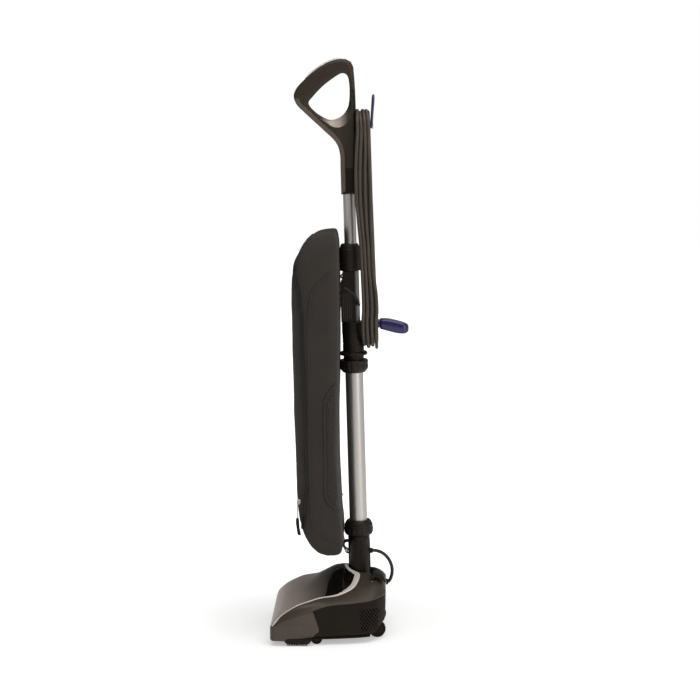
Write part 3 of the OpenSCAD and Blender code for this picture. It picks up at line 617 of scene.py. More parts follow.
body = lathe([(max(r, 0.01), z) for r, z in plug_outline], 48, grip_ribs, closed=False)
blades = [prism(rounded([(x - 0.75, -16, 0.5), (x + 0.75, -16, 0.5), (x + 0.75, 2),
                         (x - 0.75, 2)]),
                -3.2, 3.2, "y") for x in (-6.3, 6.3)]
pin = moved(lathe([(0.01, -18), (1.4, -18), (2.2, -16.5), (2.4, -14), (2.4, 2), (0.01, 2)], 20,
                  closed=False), shift(0, 8, 0))
plug = piece("plug_body", *body, "handle", "rubber", ["plug"], "black_rubber", LEANT @ PLUG_AT)
plug_pins = piece("plug_pins", *merge(*blades, pin), "handle", "steel", slot="steel",
                  place=LEANT @ PLUG_AT)


def relief(r, z, a):
    return r - (0.9 if z < 27 and (z + 100) % 4.5 < 1.6 else 0)


sleeve = [(CORD_D / 2 + 0.1, z) for z in (-1, 20)]
cone = [(7.5 - 2.4 * (1 - z / 34), z) for z in np.linspace(34, -1, 48)]
boot = piece("cord_boot", *lathe(sleeve + cone, 40, relief), "handle", "rubber",
             ["strain_relief"], "black_rubber", LEANT @ shift(0, 30 * MM, 934 * MM))

# Lead between the head and the neck
LEAD_D = 7
LEAD = [[0, 69.1, 173], [0, 76.5, 172.3], [-1, 84.5, 169.8], [-4, 92.5, 164.5], [-8, 99.5, 157],
        [-13, 105, 147.5], [-19, 108.7, 137], [-26, 110.5, 125.5], [-33, 110, 113.5],
        [-38.5, 107, 101.5], [-41, 102.5, 94]]
lead_path = curve(LEAD, 6)
motor_lead = piece("head_lead", *tube(lead_path, LEAD_D / 2, 20), "handle", "lead",
                   ["motor_lead"], "cord_jacket")
motor_lead.parent = None
motor_lead.matrix_world = Matrix.Identity(4)
del motor_lead["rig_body"]
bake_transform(motor_lead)

# ---------------------------------------------------------------- floor head shells

# Stations along the head: [y, crown height, shoulder x, shoulder z, ledge x, ledge z]
HEAD = [[-143, 44, 112, 44, 132, 41], [-141, 49, 118, 49, 138, 43], [-136, 56, 121, 56, 142, 46],
        [-123, 69, 122, 68, 143.5, 52], [-110, 78.5, 122, 76, 143.5, 58],
        [-98, 85, 121, 82, 143, 63], [-85, 92, 119, 87.5, 142, 67.5],
        [-72, 100, 116, 91, 140, 71.5],
        [-60, 108.5, 112, 94, 138.5, 75], [-47, 118, 108, 97.5, 136.5, 79.5],
        [-34, 127, 104, 100, 134.5, 84], [-14, 138.5, 98, 103, 131.5, 88],
        [0, 142, 92, 106, 129.5, 89], [10, 143, 86, 109, 127.5, 89.5],
        [25, 140, 78, 112, 124.5, 90], [40, 137, 74, 115, 121, 91], [56, 134, 70, 117.5, 116, 92],
        [70, 131, 68, 119, 109, 94], [80, 127, 66, 117, 101, 96], [88, 121, 64, 113, 91, 98],
        [94, 113, 62, 108, 82, 99], [97, 106, 60, 103, 75, 98.5]]
# Middle line of the silver trim on one side: [x, y, half its width]
TRIM = [[142.3, -150, 0.8], [142, -140, 0.8], [140.6, -132, 0.8], [137.8, -118, 0.9],
        [134.3, -104, 1.1], [130, -90, 1.3], [126, -78, 1.4], [121.5, -65, 1.5], [117, -53, 1.6],
        [113.5, -42, 1.6], [110.8, -30, 1.7], [108, -16, 2.0], [104.5, -5, 2.6], [98.5, 5, 3.4],
        [92, 13, 4.4], [84.5, 20.5, 5.2], [76, 27, 5.8], [66, 31.5, 6], [56, 34.3, 6],
        [45, 36.2, 6], [36.5, 36, 5.6], [31.5, 30.5, 4.6], [27, 24.5, 4.0], [21.5, 18.3, 3.7],
        [13, 14, 3.5], [5, 12.4, 3.5], [0, 12.1, 3.5]]
HOOD_EDGE = [[109.6, -34], [106, -31], [101, -28.9], [92, -27.4], [75, -26.2], [55, -24.6],
             [42, -22.2], [33.5, -18.8], [27.5, -13.5], [23.5, -7], [20.5, 0], [18, 7], [16.6, 13]]
dense = np.array(curve(HEAD, 6))
OUTER_TRIM = TRIM[:20]
trim_x = interp([(y, x) for x, y, _ in OUTER_TRIM])
trim_half = interp([(y, w) for _, y, w in OUTER_TRIM])
arm_x = interp([(y, x) for x, y, _ in reversed(TRIM[20:])])
hood_x = interp([(y, x) for x, y, _ in TRIM if y < -40] + [(y, x) for x, y in HOOD_EDGE])


def station(y):
    return [float(np.interp(y, dense[:, 0], dense[:, c])) for c in range(1, 6)]


def skin(y, t):
    """Point on the head's skin: t is 0 on the crown, 1 on the shoulder and 2 on the ledge."""
    cz, sx, sz, lx, lz = station(y)
    keys = [(-sx, sz), (0, cz), (sx, sz), (lx, lz), (lx + 6, lz - 14)]
    k, f = (0, t) if t < 1 else (1, min(t - 1, 1))
    a, b, c, d = (np.array(q, float) for q in keys[k:k + 4])
    p = 0.5 * (2 * b + (c - a) * f + (2 * a - 5 * b + 4 * c - d) * f * f
               + (3 * b - a - 3 * c + d) * f ** 3)
    return Vector((p[0], y, p[1]))


def share_at(y, x):
    """The share t at which the skin reaches x."""
    lo, hi = 0.0, 2.0
    for _ in range(24):
        t = (lo + hi) / 2
        lo, hi = (t, hi) if skin(y, t).x < x else (lo, t)
    return (lo + hi) / 2


def strip(ys, start, end, n):
    """Rows of the skin between two lines of x by y, with n steps in each row."""
    rows = []
    for y in ys:
        a = share_at(y, start(y)) if start(y) > 0 else 0.0
        b = share_at(y, end(y)) if end(y) < 900 else 2.0
        rows.append([skin(y, a + (b - a) * k / n) for k in range(n + 1)])
    return rows


def doubled(rows):
    """Rows from the middle outward, mirrored to both sides."""
    return [[Vector((-p.x, p.y, p.z)) for p in reversed(row[1:])] + row for row in rows]


GAP = 0.5
ys_front = list(np.concatenate([[-142.9, -142.4, -141.6, -140.4, -138.5],
                                np.arange(-136, -34, 3.0)]))
EDGE_YS = list(np.concatenate([np.arange(-33, -30, 0.8), np.arange(-29.8, -18, 0.35),
                               np.arange(-18, 12, 1.2), [12.6]]))
hood_rows = doubled(strip(ys_front + EDGE_YS, lambda y: 0,
                          lambda y: hood_x(y) - (0.4 if y < -36 else GAP), 40))
# The hood's nose turns down into the front face
nose = hood_rows[0]
turned = [[p + Vector((0, dy, dz)) for p in nose] for dy,
          dz in ((-0.6, -8), (-0.6, -4), (-0.35, -1.4))]
hood = piece("hood_shell", *grid(turned + hood_rows), "head", "hood", ["hood"], "pearl_hood",
             bevel=0.8, solid=2.4, sharp=35)

recess = strip(EDGE_YS, lambda y: hood_x(y) - 1.2, lambda y: trim_x(y) - 0.3, 26)
back_ys = list(np.arange(12.6, 35, 1.2)) + [35.4]
back = strip(back_ys, lambda y: max(arm_x(y), 3), lambda y: max(trim_x(y) - 0.3, arm_x(y) + 1), 26)
front_lip = doubled(strip([12.6, 13.4, 14.4, 15.2], lambda y: 0, lambda y: 14, 6))
side_part = grid(recess + back[1:])
lowered = Matrix.Translation((0, 0, -1.4))
piece("recess_shell", *moved(merge(side_part, mirrored(side_part), grid(front_lip)), lowered),
      "head", "gloss", ["recess_cover"], "dark_housing", solid=2.2, bevel=0.5, sharp=35)

# Band round the hood, with a rolled lip along the ledge
band_ys = list(np.concatenate([[-142.9, -142.2, -141, -139, -137], np.arange(-134, 34, 2.5),
                               np.arange(35, 38, 0.5), np.arange(39, 94, 2.5),
                               [94, 95.4, 96.4, 96.9]]))


def band_start(y):
    return trim_x(y) + trim_half(y) * 0.5 if y < 36 else 28.5


def lip(row):
    """Adds a rolled edge below the end of a row, a little proud of the side."""
    p, q = row[-1], row[-2]
    out = Vector((p.x - q.x, 0, p.z - q.z)).normalized()
    side = Vector((1, 0, 0))
    return row + [p + out * 0.5 + Vector((0.35, 0, -0.5)), p + Vector((0.6, 0, -1.7)),
                  p + Vector((0.1, 0, -2.9)), p - side * 1.2 + Vector((0, 0, -3.3)),
                  p - side * 3 + Vector((0, 0, -3.2))]


band_part = grid([lip(row) for row in strip(band_ys, band_start, lambda y: 999, 16)])
band = piece("head_band", *merge(band_part, mirrored(band_part)), "head", "shell",
             ["top_cover"], "taupe_cover", solid=2.4, bevel=0.6, sharp=50)


# Silver line between the hood and the band: narrow at the front, broad round the recess
def trim_strip():
    points = [p for p in curve(TRIM, 8) if p[1] > -139]
    rows = []
    for i, (x, y, half) in enumerate(points):
        a, b = points[max(i - 1, 0)], points[min(i + 1, len(points) - 1)]
        d = Vector((b[0] - a[0], b[1] - a[1])).normalized()
        across = Vector((d.y, -d.x))
        row = []
        for k, rise in ((-1, -1.6), (-1, 0.1), (-0.88, 0.5), (-0.4, 0.65), (0.4, 0.65),
                        (0.88, 0.5), (1, 0.1), (1, -1.6)):
            q = Vector((x, y)) + across * half * k
            s = skin(q.y, share_at(q.y, max(q.x, 0)))
            row.append(Vector((max(q.x, 0), q.y, s.z + rise)))
        rows.append(row)
    return rings_solid(rows)


trim_part = trim_strip()
piece("trim_strip", *merge(trim_part, mirrored(trim_part)), "head", "trim", ["hood_trim"],
      "satin_trim", bevel=0.25, segments=2, sharp=45)

# ---------------------------------------------------------------- floor head body


def plan(inset):
    """Outline of one half of the head from above, front to rear: points and outward normals."""
    half = [(0, -143), (40, -143), (80, -143), (112, -143), (124, -142.9)]
    half += [(s[3], y) for y in np.concatenate([[-142.6, -142, -141, -139.5, -137.5, -135],
                                                np.arange(-132, 90, 3.0),
                                                [91, 93, 94.6, 95.8, 96.6, 97]])
             for s in [station(y)]]
    half += [(68, 97.4), (60, 97.5), (50, 97.5), (40, 97.5), (28.3, 97.5), (27.9, 97.5),
             (14, 97.5), (0, 97.5)]
    out = []
    for i, p in enumerate(half):
        a, b = half[max(i - 1, 0)], half[min(i + 1, len(half) - 1)]
        d = Vector((b[0] - a[0], b[1] - a[1])).normalized()
        n = Vector((d.y * -1, d.x)) * -1
        out.append((Vector(p) - n * inset, n))
    return out


SLOT_FLOOR = 62  # the rear wall stops here where the neck leans back through it
floor_line = interp([(-150, 16), (60, 16), (66, 17), (78, 24), (88, 32), (93, 37), (98, 40)])


def side_wall(inset, y0, y1, top_gap, low_gap, rows, bulge=0.8):
    """Grid of the side wall from y0 to y1, from just above the floor to under the ledge."""
    columns = []
    for p, n in plan(inset):
        if not y0 <= p.y <= y1:
            continue
        y = min(max(p.y, -143), 97)
        top, low = station(y)[4] - top_gap, floor_line(y) + low_gap
        if n.y > 0.9:
            top = skin(96.9, share_at(96.9, p.x)).z + 0.8 - top_gap if p.x > 28 else SLOT_FLOOR
        column = []
        for k in range(rows + 1):
            t = k / rows
            z = low + (top - low) * t
            edge = 2.2 * max(0.0, 1 - (z - low) / 5) ** 2
            q = p + n * (bulge * math.sin(math.pi * t) - edge)
            column.append(Vector((q.x, q.y, z)))
        columns.append(column)
    return columns


wall_part = grid(side_wall(1.7, -150, 100, 3.0, 0.2, 22))
panel = piece("side_panels", *merge(wall_part, mirrored(wall_part)), "head", "panel",
              ["chassis"], "dark_housing", solid=2.4, sharp=40)
# Real vent holes through both rear sides
holes = []
tree_of_plan = [(p, n) for p, n in plan(1.7) if p.y > 30]
for row in range(10):
    for column in range(6):
        y = 44.5 + column * 6.7 + (row % 2) * 3.35 + row * 0.3
        z = 71 - row * 4.7
        if z < floor_line(y) + 5 or y > 82:
            continue
        p, n = min(tree_of_plan, key=lambda q: abs(q[0].y - y) + (50 if q[0].x < 60 else 0))
        turn = Vector((n.x, n.y, 0)).to_track_quat("Z", "Y").to_matrix().to_4x4()
        peg = lathe([(0.01, -7), (2.1, -7), (2.1, 5), (0.01, 5)], 14, closed=False)
        holes.append(moved(peg, Matrix.Translation((p.x, y, z)) @ turn))
cutters = merge(*holes, *[mirrored(h) for h in holes])
cutter_mesh = bpy.data.meshes.new("vent_cutter")
cutter_mesh.from_pydata([tuple(c * MM for c in v) for v in cutters[0]], [], cutters[1])
bm = bmesh.new()
bm.from_mesh(cutter_mesh)
bmesh.ops.remove_doubles(bm, verts=bm.verts, dist=1e-5)
bmesh.ops.recalc_face_normals(bm, faces=bm.faces)
bm.to_mesh(cutter_mesh)
bm.free()
cutter = bpy.data.objects.new("vent_cutter", cutter_mesh)
bpy.context.scene.collection.objects.link(cutter)
cut = panel.modifiers.new("vents", "BOOLEAN")
cut.operation, cut.object, cut.solver = "DIFFERENCE", cutter, "EXACT"
bpy.context.view_layer.update()
done = bpy.data.meshes.new_from_object(panel.evaluated_get(bpy.context.evaluated_depsgraph_get()))
panel.modifiers.clear()
panel.data = done
done.shade_smooth()
done.set_sharp_from_angle(angle=math.radians(38))
bpy.data.objects.remove(cutter)


# Black wall behind the vent holes: a real inner wall, with its black standing in for the shade
# inside the head as painted shade.
vent_backing = grid(side_wall(9, 36, 87.5, 6, 4, 4, 0))
piece("vent_backing_shaded", *merge(vent_backing, mirrored(vent_backing)), "head", "black", slot="dark_housing",
      solid=1.2)


def smoothstep(a, b, v):
    t = min(max((v - a) / (b - a), 0), 1)
    return t * t * (3 - 2 * t)


def cap_part():
    """End cap: a wedge under the ledge with a raised rounded panel on it."""
    columns = []
    for p, n in plan(0):
        if p.x < 118 or p.y > -38:
            continue
        y = max(p.y, -143)
        top = min(station(y)[4] - 3.2, 31.6 + (-40.5 - y) * 44.4 / 14.5 if y > -55 else 999)
        low = 15.9 + max(0, (y + 58) * 0.75) - 5 * smoothstep(109, 114, -y)
        if top - low < 2:
            continue
        column = []
        for k in range(41):
            z = low + (top - low) * k / 40
            # distance inside the raised panel's outline: top edge z 45, rear edge y -66
            inside = min(45 - z, -65 - y, 120)
            corner = Vector((max(0, 8 - (45 - z)), max(0, 8 - (-65 - y)))).length
            inside = 8 - corner if corner > 0 else inside
            raised = smoothstep(-0.5, 2.0, inside)
            q = p + n * (-0.4 + 2.0 * raised - 1.5 * max(0.0, 1 - (z - low) / 4) ** 2)
            column.append(Vector((q.x, q.y, z)))
        columns.append(column)
    return grid(columns)


cap = cap_part()
piece("end_cap_l", *cap, "head", "cap", ["end_cap_left"], "taupe_cover", solid=3, bevel=0.7,
      sharp=40)
piece("end_cap_r", *mirrored(cap), "head", "cap", ["end_cap_right"], "taupe_cover", solid=3,
      bevel=0.7, sharp=40)

# Front bumper: a soft bead across the nose
nose_bead = rounded([(-142.6, 21, 1.5), (-144.2, 23, 1.5), (-144.2, 33, 1.5), (-142.6, 35, 1.5)])
rows = []
for x in np.linspace(-124, 124, 40):
    end = max(0, abs(x) - 116) / 8
    rows.append([Vector((x, y + 1.2 * end * end, z)) for y, z in nose_bead])
piece("nose_bumper", *rings_solid(rows), "head", "rubber", ["front_bumper"], "black_rubber",
      sharp=50)

# Edge brushes: a tapered comb-shaped holder on each side, with tufts below it
for sign, tag in ((1, "l"), (-1, "r")):
    outline = rounded([(-120, 15.7, 1), (-54, 15.7, 1), (-60, 8, 2), (-63, 4.8, 2),
                       (-108, 4.8, 2), (-112, 8, 2)])
    holder = prism(outline, 136, 143.4)
    ridges = [prism([(y, 5.6), (y + 1.6, 5.6), (y + 1.9, 14.5), (y - 0.3, 14.5)], 143.2, 144.1)
              for y in np.arange(-110, -62, 4.4)]
    part = merge(holder, *ridges)
    piece("edge_holder_" + tag, *(part if sign > 0 else mirrored(part)), "head", "black",
          ["edge_brush_holders"], "black_plastic", bevel=0.35, segments=2)
rng = np.random.default_rng(4)
tufts = []
for y in np.arange(-107, -64, 3.6):
    for k in range(26):
        dx, dy = rng.normal(0, 0.55), rng.normal(0, 0.8)
        lean_x, lean_y = rng.normal(0.1, 0.5), rng.normal(0, 0.7)
        a = Vector((140 + dx, y + dy, 6.2))
        b = Vector((140 + dx + lean_x, y + dy + lean_y, 0.45 + abs(rng.normal(0, 0.35))))
        r = 0.17
        tufts.append(([a + Vector((r, 0, 0)), a + Vector((-r / 2, r, 0)),
                       a + Vector((-r / 2, -r, 0)),
                       b + Vector((r * .6, 0, 0)), b + Vector((-r / 3, r * .6, 0)),
                       b + Vector((-r / 3, -r * .6, 0))],
                      [(0, 1, 2), (3, 4, 5), (0, 1, 4, 3), (1, 2, 5, 4), (2, 0, 3, 5)]))
tuft_part = merge(*tufts)
piece("edge_tufts", *merge(tuft_part, mirrored(tuft_part)), "head", "bristle", ["edge_bristles"],
      "bristle")

# Wheels with a rounded tyre, grooves, and a turned hub
WHEELS = {"rear": (58, 79.5, 18.0), "front": (116, -47, 12.0)}
for end, (x0, y0, r) in WHEELS.items():
    def tread(q, z, a, r=r):
        return q - (0.35 if q > r - 0.6 and (z < 2.4 or z > 7.6) and math.cos(a * 24) > 0.3 else 0)
    tyre = lathe(rounded([(r * 0.62, 1.2, 0.5), (r * 0.9, 0.2, 1), (r, 0.9, 1.2), (r, 9.1, 1.2),
                          (r * 0.9, 9.8, 1), (r * 0.62, 8.8, 0.5)]), 96, tread)
    hub = lathe(rounded([(3.06, -0.6, 0.2), (5.0, -0.6, 0.4), (5.0, 1.2, 0.4), (r * 0.6, 1.6, 0.4),
                         (r * 0.615, 8.4, 0.4), (5.0, 8.8, 0.4), (5.0, 10.6, 0.4),
                         (3.06, 10.6, 0.2)]), 60)
    for sign, side in ((1, "left"), (-1, "right")):
        turn = shift(x0 * sign * MM, y0 * MM, r * MM) @ (
            ALONG_X if sign > 0 else Matrix.Rotation(-math.pi / 2, 4, "Y"))
        name = f"{end}_wheel_{side}"
        piece(name + "_tyre", *tyre, name, "rubber", [name], "black_rubber", turn)
        piece(name + "_hub", *hub, name, "black", slot="dark_housing", place=turn)

# ---------------------------------------------------------------- loop handle

LOOP_OUTER = [[15, 862], [15, 915], [16.5, 955], [18.5, 1000], [19, 1050], [18, 1098],
              [15, 1126], [5, 1139], [-11, 1143], [-32, 1138.5], [-58, 1125], [-82, 1106],
              [-102, 1086], [-109, 1069], [-103, 1051], [-88, 1035], [-68, 1015.5], [-48, 996],
              [-25, 972], [-16.5, 948], [-16, 915], [-16, 862]]
LOOP_HOLE = [[-79, 1053], [-68, 1068], [-50, 1086], [-30, 1101], [-9, 1113], [3, 1108.5],
             [7, 1092],
             [7, 1065], [3, 1043], [-8, 1027], [-22, 1019], [-36, 1017.5], [-50, 1023.5],
             [-67, 1036]]
CRESCENT = [[-56, 1020], [-43.3, 1013.0], [-30.3, 1004.1], [-19.8, 1001.8], [-9.1, 1004.2],
            [1.8, 1012.4], [8, 1021.5], [11.5, 1040]]


def to_polyline(points, line, closed):
    """Distance from each point to a line, and how far along it in segments the foot lies."""
    line = np.array(line, float)
    a = line if closed else line[:-1]
    b = np.roll(line, -1, 0) if closed else line[1:]
    d = b - a
    rel = points[:, None, :] - a[None]
    t = np.clip((rel * d).sum(2) / np.maximum((d * d).sum(1), 1e-9), 0, 1)
    gap = np.linalg.norm(rel - t[..., None] * d, axis=2)
    k = gap.argmin(1)
    each = np.arange(len(points))
    return gap[each, k], k + t[each, k]


def inside(points, line):
    """Which points lie inside a closed outline."""
    x, y = points[:, 0], points[:, 1]
    hit = np.zeros(len(points), bool)
    for (x0, y0), (x1, y1) in zip(line, list(line[1:]) + [line[0]]):
        if y0 == y1:
            continue
        cross = ((y0 > y) != (y1 > y)) & (x < (x1 - x0) * (y - y0) / (y1 - y0) + x0)
        hit ^= cross
    return hit


OUT_STEPS = 8
outer = [tuple(p) for p in curve(LOOP_OUTER, OUT_STEPS)]
hole = [tuple(p) for p in curve(LOOP_HOLE, 7, closed=True)]


def inset_points(line, inward, steps_in, skip):
    out = []
    n = len(line)
    for i in range(0, n, skip):
        a, b = Vector(line[i - 1]), Vector(line[(i + 1) % n])
        d = (b - a).normalized()
        normal = Vector((d.y, -d.x)) * inward
        out += [tuple(Vector(line[i]) + normal * s) for s in steps_in]
    return out


RINGS = (0.35, 0.9, 1.7, 2.8, 4.2, 6.0, 7.8, 9.0, 10.2, 11.6)
area_sign = sum(a[0] * b[1] - b[0] * a[1] for a, b in zip(outer, outer[1:] + outer[:1]))
hole_sign = sum(a[0] * b[1] - b[0] * a[1] for a, b in zip(hole, hole[1:] + hole[:1]))
filler = (inset_points(outer, -1 if area_sign > 0 else 1, RINGS, 1)
         + inset_points(hole, 1 if hole_sign > 0 else -1, RINGS, 1))
crescent_line = curve(CRESCENT, 6)
filler += [tuple(Vector(p) + Vector((0, s))) for p in crescent_line for s in (-0.8, 0, 0.8)]
filler += [(y + (2 if k % 2 else 0), z) for k, z in enumerate(np.arange(864, 1142, 3.4))
          for y in np.arange(-106, 20, 4.0)]
filler = np.array(filler)
gap_out, _ = to_polyline(filler, outer, True)
gap_hole, _ = to_polyline(filler, hole, True)
ok = inside(filler, outer) & ~inside(filler, hole) & (gap_out > 0.3) & (gap_hole > 0.3)
kept = []
cells = {}
for p in filler[ok]:  # thins out points that crowd each other
    key = (round(p[0] / 1.1), round(p[1] / 1.1))
    if all(np.hypot(*(p - q)) > 0.75 for i in (-1, 0, 1) for j in (-1, 0, 1)
           for q in cells.get((key[0] + i, key[1] + j), ())):
        cells.setdefault(key, []).append(p)
        kept.append(tuple(p))

BAND_EDGE, REAR_EDGE = 9.6, 5.2


def offset_line(far, first, last):
    """Part of the outline, moved inward by a distance."""
    turn = -1 if area_sign > 0 else 1
    out = []
    for i in range(first, last - 1):
        a, b = Vector(outer[i - 1]), Vector(outer[i + 1])
        d = (b - a).normalized()
        out.append(tuple(Vector(outer[i]) + Vector((d.y, -d.x)) * turn * far))
    return out


flat = [Vector(p) for p in outer + hole + kept]
n_out, n_hole = len(outer), len(hole)
edges = ([(i, (i + 1) % n_out) for i in range(n_out)]
         + [(n_out + i, n_out + (i + 1) % n_hole) for i in range(n_hole)])
# Lines where one colour of the handle meets another run along edges of the mesh
for line in (offset_line(BAND_EDGE, int(13.4 * OUT_STEPS), len(outer)),
             offset_line(REAR_EDGE, OUT_STEPS, int(4.6 * OUT_STEPS)),
             [tuple(p) for p in crescent_line], [(y, 917) for y in np.linspace(-6, 14, 8)]):
    base = len(flat)
    flat += [Vector(p) for p in line]
    edges += [(base + i, base + i + 1) for i in range(len(line) - 1)]
flat_v, _, flat_f, origin, _, _ = delaunay_2d_cdt(flat, edges, [], 0, 1e-5)
pts = np.array([tuple(v) for v in flat_v])
centres = np.array([pts[list(f)].mean(0) for f in flat_f])
keep_face = inside(centres, outer) & ~inside(centres, hole)
tris = [tuple(f) for f, k in zip(flat_f, keep_face) if k]
mid = centres[keep_face]
index_of = {o: i for i, group in enumerate(origin) for o in group}
d_out, at_out = to_polyline(pts, outer, True)
d_hole, _ = to_polyline(pts, hole, True)
d_cres, _ = to_polyline(pts, [tuple(p) for p in crescent_line], False)
crescent_zone = [tuple(p) for p in crescent_line] + [(7.5, 1060), (7.2, 1043)] + [
    (3, 1043), (-8, 1027), (-22, 1019), (-36, 1017.5), (-50, 1023.5)]
in_cres = inside(pts, crescent_zone)
leg = at_out / OUT_STEPS  # which of the outline's own points is nearest


def rise(d, h0, h1, width):
    """Half thickness at a distance from an edge: a rounded rim, then a soft shoulder."""
    t = np.clip(d / width, 0, 1)
    rim = 1.6 * (1 - np.clip(d / 1.2, 0, 1)) ** 2
    return h0 + (h1 - h0) * np.sqrt(1 - (1 - t) ** 2) - rim


grip = rise(d_out, 8.5, 15.6, 9.0)
front = rise(d_out, 12.2, 16.0, 3.2)
rear = rise(d_out, 11.5, 15.4, 4.5)
is_front = np.clip((leg - 13.2) / 0.8, 0, 1)
is_rear = np.clip((4.8 - leg) / 1.2, 0, 1)
height = grip * (1 - is_front) * (1 - is_rear) + front * is_front + rear * is_rear
height = np.minimum(height, rise(d_hole, 8.0, 16.0, 10.0))
ramp_t = d_hole / (d_hole + d_cres + 1e-6)
height = np.where(in_cres, np.minimum(height, 7.0 + 8.4 * ramp_t), height)
groove = np.exp(-((d_out - BAND_EDGE - 0.8) / 0.8) ** 2) * np.clip((leg - 13.3) / 0.6, 0, 1)
sunk = np.clip((d_out - BAND_EDGE) / 1.2, 0, 1) * np.clip((leg - 13.3) / 0.6, 0, 1) * ~in_cres
height = height - 0.9 * groove * (d_hole > 4) - 1.3 * sunk * np.clip((d_hole - 3) / 3, 0, 1)


mid_out, mid_at = to_polyline(mid, outer, True)
mid_leg = mid_at / OUT_STEPS
mid_cres = inside(mid, crescent_zone)
mid_band = (mid_leg > 13.35) & (mid_leg < 21) & (mid_out < BAND_EDGE)
mid_rear = (mid_leg > 1) & (mid_leg < 4.6) & (mid_out < REAR_EDGE)
mid_mat = np.where(mid_cres, 3, np.where(mid_band, 1,
                                         np.where((mid[:, 1] < 917) | mid_rear, 2, 0)))


def handle_material(c):
    """Material of a face by where it lies, in the handle's frame."""
    q = LEANT.inverted() @ c / MM
    k = int(np.argmin(np.hypot(mid[:, 0] - q.y, mid[:, 1] - q.z)))
    return int(mid_mat[k])


def loop_half(sign):
    n = len(pts)
    verts = [(sign * h, y, z) for (y, z), h in zip(pts, height)]
    verts += [(sign * 0.12, y, z) for y, z in pts]
    faces = list(tris) + [tuple(i + n for i in reversed(f)) for f in tris]
    for first, count in ((0, n_out), (n_out, n_hole)):
        ring = [index_of[first + i] for i in range(count)]
        faces += [(a, b, b + n, a + n) for a, b in zip(ring, ring[1:] + ring[:1])]
    return verts, faces


for sign, side in ((1, "left"), (-1, "right")):
    piece("loop_" + side, *loop_half(sign), "handle", "handle", ["handle_" + side],
          "handle_plastic", LEANT, mats=("band", "black", "crescent"), pick=handle_material,
          sharp=48)

# Silver strip over the top of the grip, domed across
strip_line = [p for p in curve(LOOP_OUTER, 10) if -86 < p[0] < -5.4 and p[1] > 1090]
strip_rows = []
for i, p in enumerate(strip_line):
    a, b = Vector(strip_line[max(i - 1, 0)]), Vector(strip_line[min(i + 1, len(strip_line) - 1)])
    d = (b - a).normalized()
    off_grip = Vector((d.y, -d.x))
    off_grip = off_grip if off_grip.y > 0 else -off_grip
    share = i / (len(strip_line) - 1)
    thick = 2.5 * min(1, 6 * share + 0.25, 6 * (1 - share) + 0.35)
    wide = 8.3 * min(1, 5 * share + 0.5, 7 * (1 - share) + 0.6)
    profile = [(-1, -0.8), (-1, 0.3), (-0.86, 0.75), (-0.5, 0.96), (0, 1.05), (0.5, 0.96),
               (0.86, 0.75), (1, 0.3), (1, -0.8)]
    strip_rows.append([Vector((u * wide, *(Vector(p) + off_grip * (w * thick if w > 0 else w))))
                       for u, w in profile])
piece("grip_inlay", *rings_solid(strip_rows), "handle", "trim", ["grip_strip"], "satin_trim",
      LEANT, bevel=0.2, segments=2, sharp=50)

# Rocker switch in its well behind the strip
corner = [Vector(p) for p in curve(LOOP_OUTER, 10) if p[0] > -4 and p[1] > 1117]
switch = [(4, 1119)] + [tuple(a + Vector(((b - a).y, (a - b).x)).normalized() * 0.9)
                        for a, b in zip(corner, corner[1:])] + [(-3, 1134)]
marks = [prism([(3 + r0 * math.cos(a), 1125 + r0 * math.sin(a)) for r0, a in
                ((11, m - 0.02), (15.4, m - 0.03), (15.4, m + 0.03), (11, m + 0.02))], -5.5, 5.5)
         for m in np.radians([44, 54, 64])]
piece("rocker_switch", *prism(switch, -8.2, 8.2), "switch", "gloss", ["power_switch"],
      "black_plastic", LEANT, bevel=1.0)
piece("rocker_ribs", *merge(*marks), "switch", "black", slot="black_plastic", place=LEANT)

# Screws that close the handle, on its right side
screw = lathe(rounded([(0.01, 0), (2.9, 0), (2.9, 1.0, 0.4), (2.2, 1.4, 0.4), (0.9, 1.4),
                       (0.7, 0.5),
                       (0.01, 0.5)]), 28, closed=False)
for k, (y, z) in enumerate(((-92, 1066), (4, 1001), (2, 930))):
    h = float(height[int(np.argmin(np.hypot(pts[:, 0] - y, pts[:, 1] - z)))])
    piece(f"handle_screw_{k}", *moved(screw, Matrix.Translation((-h + 0.7, y, z))
                                      @ Matrix.Rotation(-math.pi / 2, 4, "Y")),
          "handle", "steel", slot="steel", place=LEANT)

# ---------------------------------------------------------------- tubes, collars and docks


def turned_part(name, profile, body, mat, nodes, slot_name, n=96, shape=None, at=(0, 0, 0), **kw):
    return piece(name, *lathe(rounded(profile), n, shape), body, mat, nodes, slot_name,
                 LEANT @ shift(*(c * MM for c in at)), **kw)


def lobes(count, depth, z0, z1, power=1.0):
    def shape(r, z, a):
        if r < 20.5 or not z0 <= z <= z1:
            return r
        end = min(1, (z - z0) / 2.5, (z1 - z) / 2.5)
        return r - depth * end * abs(math.sin(a * count / 2)) ** power
    return shape


